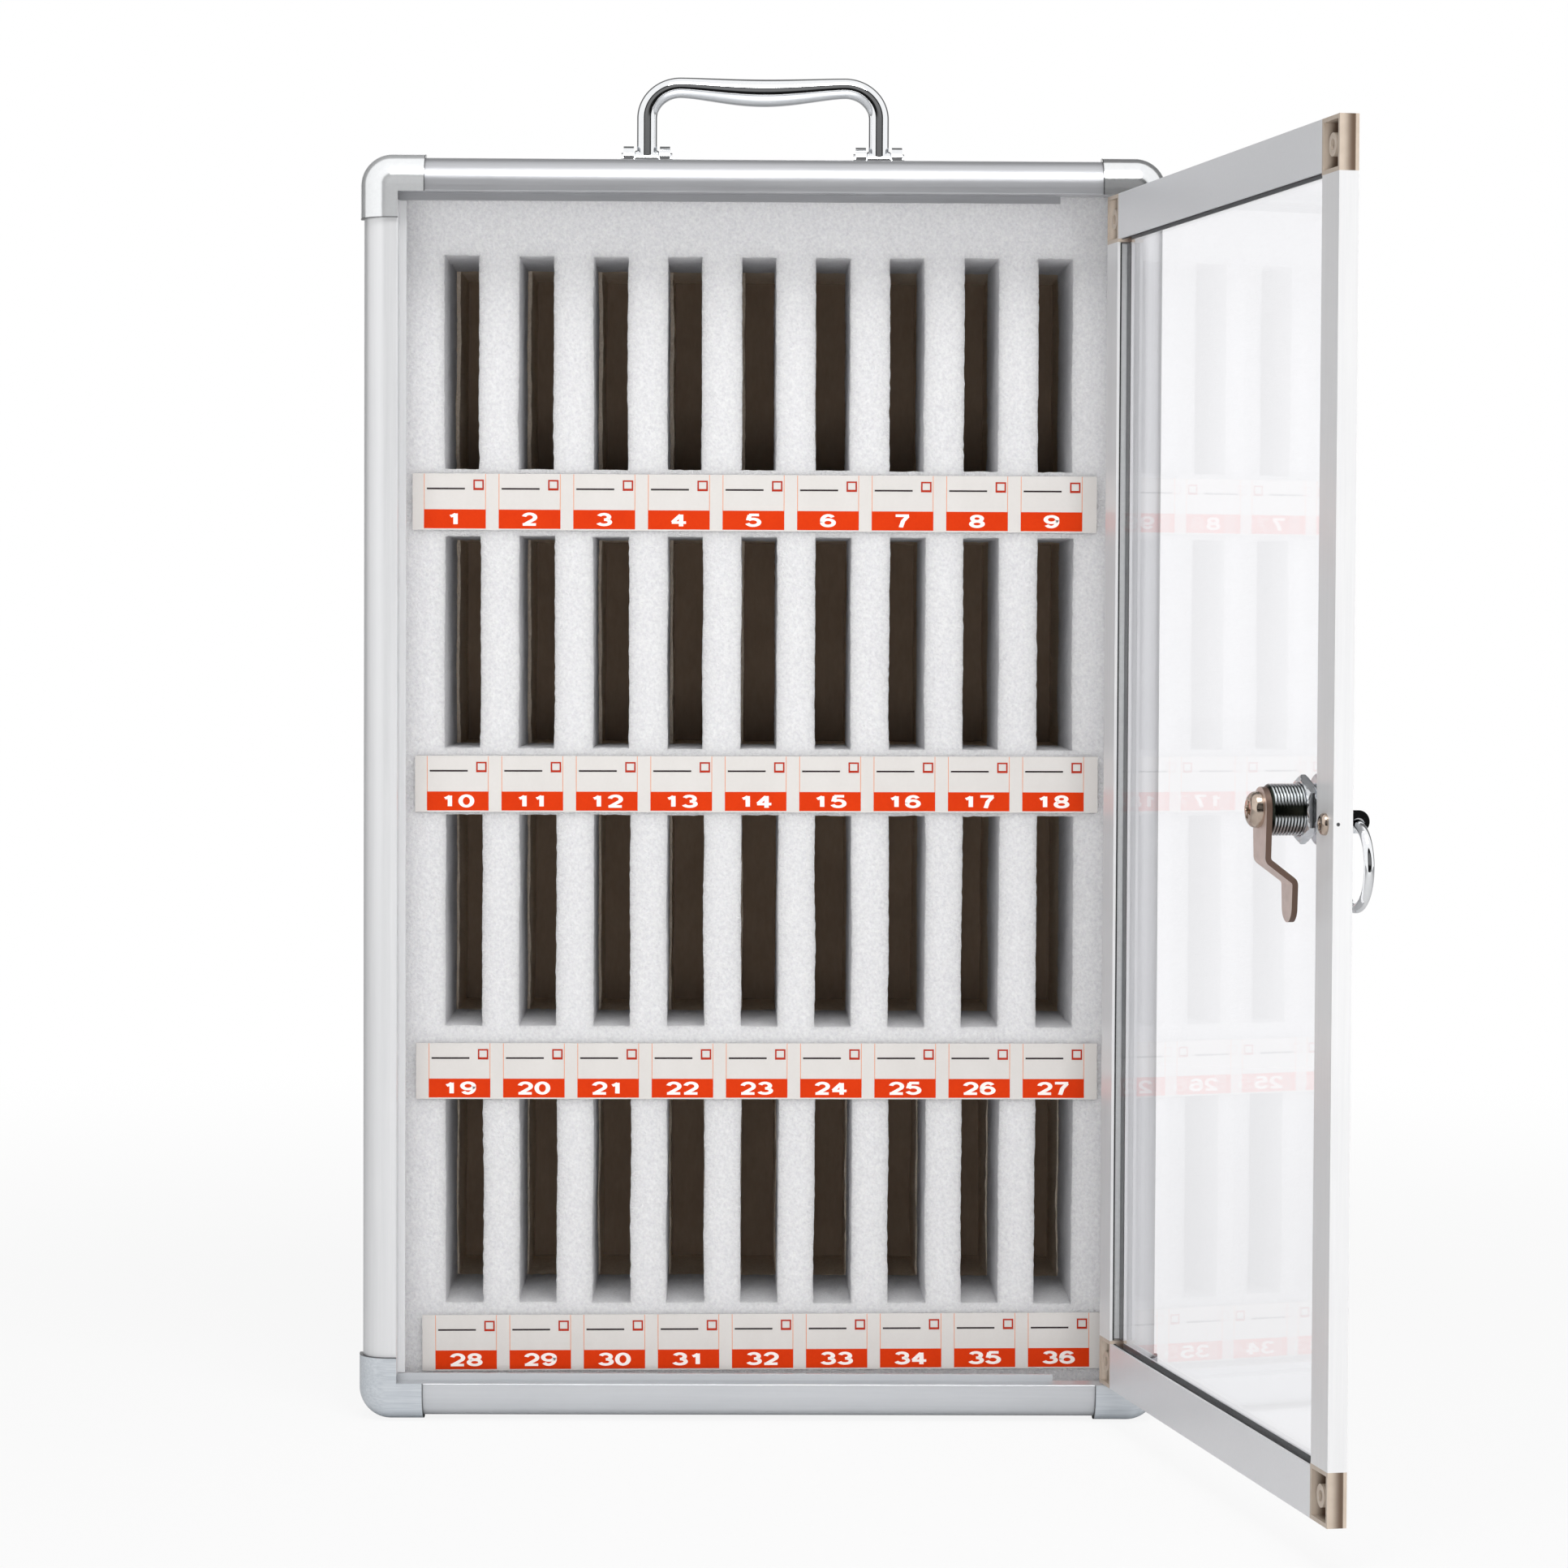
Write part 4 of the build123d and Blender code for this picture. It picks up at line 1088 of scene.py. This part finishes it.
def cross_screw(name, place, base, head, arm, shank, body, node):
    """A domed head with a cross pressed in, on a short shank: the points in the cross go down."""
    radius, tall, crown = head
    depth = CROSS_DEEP * tall
    mesh = bmesh.new()
    middle = mesh.verts.new(on_door(*place, base + dome_height(0, *head) - depth))
    loops = []
    for step in range(1, HEAD_RINGS + 1):
        r = radius * step / HEAD_RINGS

        def rise(angle):
            x, y = r * math.cos(angle + CROSS_TURN), r * math.sin(angle + CROSS_TURN)
            return base + dome_height(r, *head) - depth * in_cross(x, y, arm)

        loops.append(door_ring(mesh, place, rise, r))
    for r, across in ((radius, base), (shank[0], base), (shank[0], base - shank[1])):
        loops.append(door_ring(mesh, place, across, r))
    for n in range(TURN_COUNT):
        mesh.faces.new((middle, loops[0][n], loops[0][(n + 1) % TURN_COUNT]))
    for first, second in zip(loops, loops[1:]):
        bridge(mesh, first, second)
    mesh.faces.new(loops[-1])
    face_outward(mesh)
    piece = new_piece(name, mesh, NICKEL, body, node, sharp=30)
    print(name, "faces:", len(piece.data.polygons))


# %% Both screws
RING_PLACE = (240.85, 206.4)
CAM_HEAD = (5.5, 3.2, 2.5)
CAM_SHANK = (2.0, 6.2)
RING_HEAD = (3.3, 1.8, 1.4)
RING_SHANK = (1.4, 0.05)

for name, place, base, head, arm, shank, body, node in (
    ("cross_screw_cam", LOCK_PLACE, 17.1, CAM_HEAD, 2.7, CAM_SHANK, "lock_plug", "cam_screw"),
    ("cross_screw_ring", RING_PLACE, 3.0, RING_HEAD, 1.7, RING_SHANK, "door", "ring_screw"),
):
    cross_screw(name, place, base, head, arm, shank, body, node)

# %% [markdown]
# ### The carry handle
# A polished handle shows every flaw of its curve, because the room's reflection runs along it as
# long stripes. So it is swept here as one tube: rings of points along a path that goes up a leg,
# round a bend and across the grip, which sags and thickens smoothly towards its middle.

# %% Path of the handle
PIN_HEIGHT = 446.0
HANDLE_TOP = 472.8
HALF_SPAN = 42.0
BEND_WIDE = 12.2
BEND_TALL = 11.2
ROD_RADIUS = 3.7
GRIP_RADIUS = 4.95
GRIP_DROP = 1.8
LEG_PARTS = 4
BEND_PARTS = 32
GRIP_PARTS = 36


def half_path():
    """Half of the handle: places from the foot to the middle, with the direction and the radius."""
    path = []
    low, high = PIN_HEIGHT + 2.3, HANDLE_TOP - BEND_TALL
    for n in range(LEG_PARTS + 1):
        path.append((-HALF_SPAN, low + (high - low) * n / LEG_PARTS, 0.0, ROD_RADIUS))
    for n in range(1, BEND_PARTS + 1):
        turn = math.pi / 2 * n / BEND_PARTS
        x = -HALF_SPAN + BEND_WIDE * (1 - math.cos(turn))
        path.append((x, high + BEND_TALL * math.sin(turn), turn, ROD_RADIUS))
    start = HALF_SPAN - BEND_WIDE
    for n in range(1, GRIP_PARTS + 1):
        x = -start * (1 - n / GRIP_PARTS)
        swell = math.cos(math.pi / 2 * x / start) ** 1.5
        radius = ROD_RADIUS + (GRIP_RADIUS - ROD_RADIUS) * swell
        path.append((x, HANDLE_TOP - GRIP_DROP * swell, math.pi / 2, radius))
    return path


def whole_path():
    """The half path and its mirror image, as one run from foot to foot."""
    half = half_path()
    return half + [(-x, z, math.pi - turn, radius) for x, z, turn, radius in reversed(half[:-1])]


print("places along the handle:", len(whole_path()))

# %% Sweep the handle
TUBE_COUNT = 64
KNUCKLE_COUNT = 48
KNUCKLE_RADIUS = 4.1
KNUCKLE_HALF = 4.4
KNUCKLE_EDGE = 0.35
PIN_BORE = 2.05
FOOT_RISE = 1.5


def tube_ring(mesh, x, z, turn, radius):
    """A ring of points about the handle's path."""
    ring = []
    for n in range(TUBE_COUNT):
        angle = 2 * math.pi * n / TUBE_COUNT
        out = -math.cos(angle) * radius
        spot = (x + out * math.cos(turn), math.sin(angle) * radius, z - out * math.sin(turn))
        ring.append(mesh.verts.new(Vector(spot) * MM))
    return ring


def knuckle(mesh, middle):
    """The bored barrel at a foot, which turns on the pin."""
    half, outer = KNUCKLE_HALF, KNUCKLE_RADIUS
    profile = [(-half, PIN_BORE), (-half, outer - KNUCKLE_EDGE), (-half + KNUCKLE_EDGE, outer)]
    profile += [(-x, r) for x, r in reversed(profile)]
    rings = []
    for x, radius in profile:
        ring = []
        for n in range(KNUCKLE_COUNT):
            angle = 2 * math.pi * n / KNUCKLE_COUNT
            y, z = radius * math.cos(angle), PIN_HEIGHT + radius * math.sin(angle)
            ring.append(mesh.verts.new(Vector((middle + x, y, z)) * MM))
        rings.append(ring)
    for first, second in zip(rings, rings[1:] + rings[:1]):
        bridge(mesh, first, second)


def sweep_handle():
    """The tube of the handle, closed at its feet, with a bored knuckle on each."""
    mesh = bmesh.new()
    rings = [tube_ring(mesh, *place) for place in whole_path()]
    for foot in (rings[0], rings[-1]):
        for vert in foot:
            if abs(vert.co.y) > 2.2 * MM:
                vert.co.z = (PIN_HEIGHT + FOOT_RISE) * MM
        mesh.faces.new(foot)
    for first, second in zip(rings, rings[1:]):
        bridge(mesh, first, second)
    for side in (-1, 1):
        knuckle(mesh, side * HALF_SPAN)
    face_outward(mesh)
    return new_piece(
        "swept_handle", mesh, CHROME, "handle", "carry_handle", sharp=40
    )


handle = sweep_handle()
print("handle faces:", len(handle.data.polygons))

# %% [markdown]
# ### The pane's seal
# The pane sits in a rubber channel. From outside only the channel's two thin lips are seen, as a
# dark line along the bars. A dark edge painted on the bars would do from the front alone, so the
# channel is drawn again with lips under half a millimetre: one outline, laid along four runs.

# %% Slim seal
SEAL_BACK = 10.8
SEAL_BED = 11.7
SEAL_LIP = 15.75
SEAL_HALF = 1.95
PANE_HALF = 1.52
DOOR_WIDE = 252.0
DOOR_TALL = 413.0
BLOCK = 16.8


def seal_run(mesh, start, end, inward):
    """One run of the channel between two places on the door, opening inwards."""
    bevel = (SEAL_HALF - PANE_HALF) / 2
    half = [(SEAL_BACK, SEAL_HALF), (SEAL_LIP - bevel, SEAL_HALF), (SEAL_LIP, SEAL_HALF - bevel)]
    half += [(SEAL_LIP, PANE_HALF), (SEAL_BED, PANE_HALF)]
    outline = [(reach, -across) for reach, across in half] + half[::-1]
    rings = []
    for x, z in (start, end):
        spots = [(x + inward[0] * r, z + inward[1] * r, across) for r, across in outline]
        rings.append([mesh.verts.new(on_door(*spot)) for spot in spots])
    bridge(mesh, *rings)
    for ring in rings:
        mesh.faces.new(ring)


def pane_seal():
    """The four runs of the channel, between the corner blocks."""
    mesh = bmesh.new()
    left, right = LOCK_EDGE - DOOR_WIDE, LOCK_EDGE
    seal_run(mesh, (left + BLOCK, 0), (right - BLOCK, 0), (0, 1))
    seal_run(mesh, (left + BLOCK, DOOR_TALL), (right - BLOCK, DOOR_TALL), (0, -1))
    seal_run(mesh, (left, BLOCK), (left, DOOR_TALL - BLOCK), (1, 0))
    seal_run(mesh, (right, BLOCK), (right, DOOR_TALL - BLOCK), (-1, 0))
    face_outward(mesh)
    return new_piece("pane_seal", mesh, RUBBER, "door", "pane_gasket")


seal = pane_seal()
print("seal faces:", len(seal.data.polygons))

# %% [markdown]
# ## The print on the labels
# Each strip of paper carries nine cells: two fine lines, a small box to tick, a rule to write a
# name on, and a coloured bar with the slot's number. Ink is thin, but it is still modelled as
# flat pieces a few hundredths of a millimetre proud of the paper, which stay sharp from any side.
# An image would blur, and a pattern of nodes can't write numbers.

# %% Ink
def ink(name, colour, shade):
    """Printed ink, slightly uneven."""
    finish = Finish(name, roughness=0.6)
    screen = finish.noise(0.0008, 2.0)
    cloud = finish.noise(0.01, 2.0)
    share = (screen * 0.4 + cloud * 0.6).limited()
    finish.set(Base_Color=finish.blend(share, shade, colour), Specular_IOR_Level=0.15)
    finish.set(Normal=finish.bump(screen, 0.00001, 0.4))
    return finish.material


BAR_INK = ink("bar_ink", tint(222, 62, 8), tint(202, 48, 6))
LINE_INK = ink("line_ink", tint(232, 160, 124), tint(222, 140, 100))
BOX_INK = ink("box_ink", tint(190, 60, 40), tint(160, 40, 24))
RULE_INK = ink("rule_ink", tint(70, 62, 64), tint(36, 28, 30))
NUMBER_INK = ink("number_ink", tint(255, 248, 244), tint(250, 238, 232))
print("inks:", ", ".join(i.name for i in (BAR_INK, LINE_INK, BOX_INK, RULE_INK, NUMBER_INK)))

# %% Cells
CELL_PITCH = 26.27
CELL_WIDE = 21.75
FIRST_CELL = (-119.1, -117.9, -117.1, -114.6)
STRIP_TILT = (0.0, 0.14, 0.14, 0.37)
STRIP_TALL = 19.8
BAR_RISE = 0.5
BAR_TALL = 6.7
INK_PROUD = 0.05
LINE_WIDE = 0.22
BOX_SIDE = 3.7
BOX_LINE = 0.55
BOX_DROP = 2.1
BOX_INSET = 0.7
RULE_LONG = 13.4
RULE_TALL = 0.6
RULE_INSET = 1.0
RULE_RISE = 0.2
NUMBER_RISE = 1.05


class Strip:
    """The print of one label strip, drawn flat and then turned with the strip."""

    def __init__(self, row):
        low, high = (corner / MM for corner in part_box(f"label_strip_{row + 1}"))
        self.middle = (low + high) / 2
        self.front = low.y
        self.bottom = self.middle.z - STRIP_TALL / 2
        self.top = self.middle.z + STRIP_TALL / 2
        self.turn = math.radians(STRIP_TILT[row])

    def point(self, x, z, lift):
        """A point of the print, in metres, lifted off the paper by that many millimetres."""
        dx, dz = x - self.middle.x, z - self.middle.z
        turned_x = dx * math.cos(self.turn) - dz * math.sin(self.turn)
        turned_z = dx * math.sin(self.turn) + dz * math.cos(self.turn)
        return Vector((self.middle.x + turned_x, self.front - lift, self.middle.z + turned_z)) * MM

    def sheet(self, name, shapes, lift, finish):
        """Flat shapes of ink, each a ring of corners, as one thin solid piece."""
        mesh = bmesh.new()
        for layer, ring in enumerate(shapes):
            proud = lift + (layer % 7) * 0.003
            face = [mesh.verts.new(self.point(x, z, proud)) for x, z in ring]
            back = [mesh.verts.new(self.point(x, z, 0)) for x, z in ring]
            mesh.faces.new(face)
            for n, corner in enumerate(face):
                m = (n + 1) % len(face)
                mesh.faces.new((face[m], corner, back[n], back[m]))
        face_outward(mesh)
        return new_piece(name, mesh, finish, "case")


def oblong(left, bottom, width, height):
    """The corners of an upright rectangle."""
    right, top = left + width, bottom + height
    return [(left, bottom), (right, bottom), (right, top), (left, top)]


def box_outline(left, bottom):
    """The four sides of a small box to tick."""
    inner = BOX_SIDE - 2 * BOX_LINE
    return [
        oblong(left, bottom, BOX_SIDE, BOX_LINE * 1.4),
        oblong(left, bottom + BOX_SIDE - BOX_LINE, BOX_SIDE, BOX_LINE),
        oblong(left, bottom + BOX_LINE, BOX_LINE, inner),
        oblong(left + BOX_SIDE - BOX_LINE, bottom + BOX_LINE, BOX_LINE, inner),
    ]


print("cells per strip:", COLUMNS)

# %% [markdown]
# ### Numbers drawn with a pen
# The numbers are wide and bold, with stems almost twice as thick as their level strokes. That is
# what a flat-sided pen gives: each digit is a few lines and arcs for the middle of the stroke,
# and an oval nib wider than tall is drawn along them. A font file isn't needed, and the
# proportions stay in two numbers.

# %% The pen
DIGIT_WIDE = 5.6
DIGIT_TALL = 4.64
DIGIT_STEP = 6.05
NIB_WIDE = 1.55
NIB_TALL = 0.9


def arc(middle_x, middle_y, reach_x, reach_y, start, end):
    """Points along part of an oval, from one angle to another, in degrees."""
    count = max(6, round(abs(end - start) / 12))
    angles = [math.radians(start + (end - start) * n / count) for n in range(count + 1)]
    return [(middle_x + reach_x * math.cos(t), middle_y + reach_y * math.sin(t)) for t in angles]


DIGITS = {
    "0": [arc(0.5, 0.5, 0.5, 0.5, 0, 360)],
    "1": [[(0.56, 0.0), (0.56, 1.0)], [(0.6, 0.97), (0.34, 0.8), (0.12, 0.74)]],
    "2": [arc(0.5, 0.68, 0.48, 0.32, 168, -35) + [(0.1, 0.02)], [(-0.1, 0.0), (1.06, 0.0)]],
    "3": [arc(0.48, 0.74, 0.44, 0.26, 160, -88), arc(0.48, 0.25, 0.52, 0.25, 88, -160)],
    "4": [[(0.68, 0.98), (-0.02, 0.3)], [(-0.12, 0.25), (1.12, 0.25)], [(0.7, 1.0), (0.7, -0.1)]],
    "5": [
        [(0.12, 1.0), (0.98, 1.0)],
        [(0.18, 1.0), (0.04, 0.5)],
        arc(0.47, 0.31, 0.53, 0.31, 140, -160),
    ],
    "6": [arc(0.5, 0.3, 0.5, 0.3, 0, 360), arc(0.52, 0.5, 0.52, 0.5, 40, 200)],
    "7": [[(-0.1, 1.0), (1.06, 1.0)], [(0.95, 0.95), (0.55, 0.5), (0.36, -0.1)]],
    "8": [arc(0.5, 0.76, 0.42, 0.24, 0, 360), arc(0.5, 0.25, 0.5, 0.25, 0, 360)],
    "9": [arc(0.5, 0.7, 0.5, 0.3, 0, 360), arc(0.48, 0.5, 0.52, 0.5, -140, 20)],
}
print("digits:", " ".join(DIGITS))


# %% Strokes of the nib
def nib_stroke(points, left, bottom):
    """The quads that an oval nib covers as it follows a stroke of a digit."""
    half = Vector((NIB_WIDE / 2, NIB_TALL / 2))
    start = Vector((left, bottom)) + half
    span = Vector((DIGIT_WIDE, DIGIT_TALL)) - 2 * half
    path = [start + Vector((x * span.x, y * span.y)) for x, y in points]
    closed = (path[0] - path[-1]).length < 0.01
    rims = []
    for n, spot in enumerate(path):
        before = path[n - 1] if n else (path[-2] if closed else spot)
        after = path[n + 1] if n < len(path) - 1 else (path[1] if closed else spot)
        way = (after - before).normalized()
        across = Vector((-way.y, way.x))
        scaled = Vector((half.x**2 * across.x, half.y**2 * across.y))
        reach = scaled / math.hypot(half.x * across.x, half.y * across.y)
        rims.append((spot + reach, spot - reach))
    return [[tuple(a), tuple(b), tuple(d), tuple(c)] for (a, b), (c, d) in zip(rims, rims[1:])]


def number_shapes(number, middle, bottom):
    """The quads of a whole number, centred on a point of the strip."""
    digits = str(number)
    left = middle - (DIGIT_STEP * (len(digits) - 1) + DIGIT_WIDE) / 2
    shapes = []
    for place, digit in enumerate(digits):
        for stroke in DIGITS[digit]:
            shapes += nib_stroke(stroke, left + place * DIGIT_STEP, bottom)
    return shapes


print("quads in the number 36:", len(number_shapes(36, 0, 0)))


# %% Print the strips
def print_strip(row):
    """The bars, lines, boxes, rules and numbers of one strip."""
    strip = Strip(row)
    bars, lines, boxes, rules, numbers = [], [], [], [], []
    for column in range(COLUMNS):
        left = FIRST_CELL[row] + column * CELL_PITCH
        bar_top = strip.bottom + BAR_RISE + BAR_TALL
        bars.append(oblong(left, strip.bottom + BAR_RISE, CELL_WIDE, BAR_TALL))
        for edge in (left, left + CELL_WIDE - LINE_WIDE):
            lines.append(oblong(edge, bar_top, LINE_WIDE, strip.top - bar_top - 0.1))
        box_left = left + CELL_WIDE - BOX_INSET - BOX_SIDE
        box_bottom = strip.top - BOX_DROP - BOX_SIDE
        boxes += box_outline(box_left, box_bottom)
        rules.append(oblong(left + RULE_INSET, box_bottom + RULE_RISE, RULE_LONG, RULE_TALL))
        number = row * COLUMNS + column + 1
        number_bottom = strip.bottom + BAR_RISE + NUMBER_RISE
        numbers += number_shapes(number, left + CELL_WIDE / 2, number_bottom)
    strip.sheet(f"print_bars_{row + 1}", bars, INK_PROUD, BAR_INK)
    strip.sheet(f"print_lines_{row + 1}", lines, INK_PROUD, LINE_INK)
    strip.sheet(f"print_boxes_{row + 1}", boxes, INK_PROUD, BOX_INK)
    strip.sheet(f"print_rules_{row + 1}", rules, INK_PROUD, RULE_INK)
    strip.sheet(f"print_numbers_{row + 1}", numbers, 2 * INK_PROUD, NUMBER_INK)


for row in range(ROWS):
    print_strip(row)
print("numbers printed:", ROWS * COLUMNS)
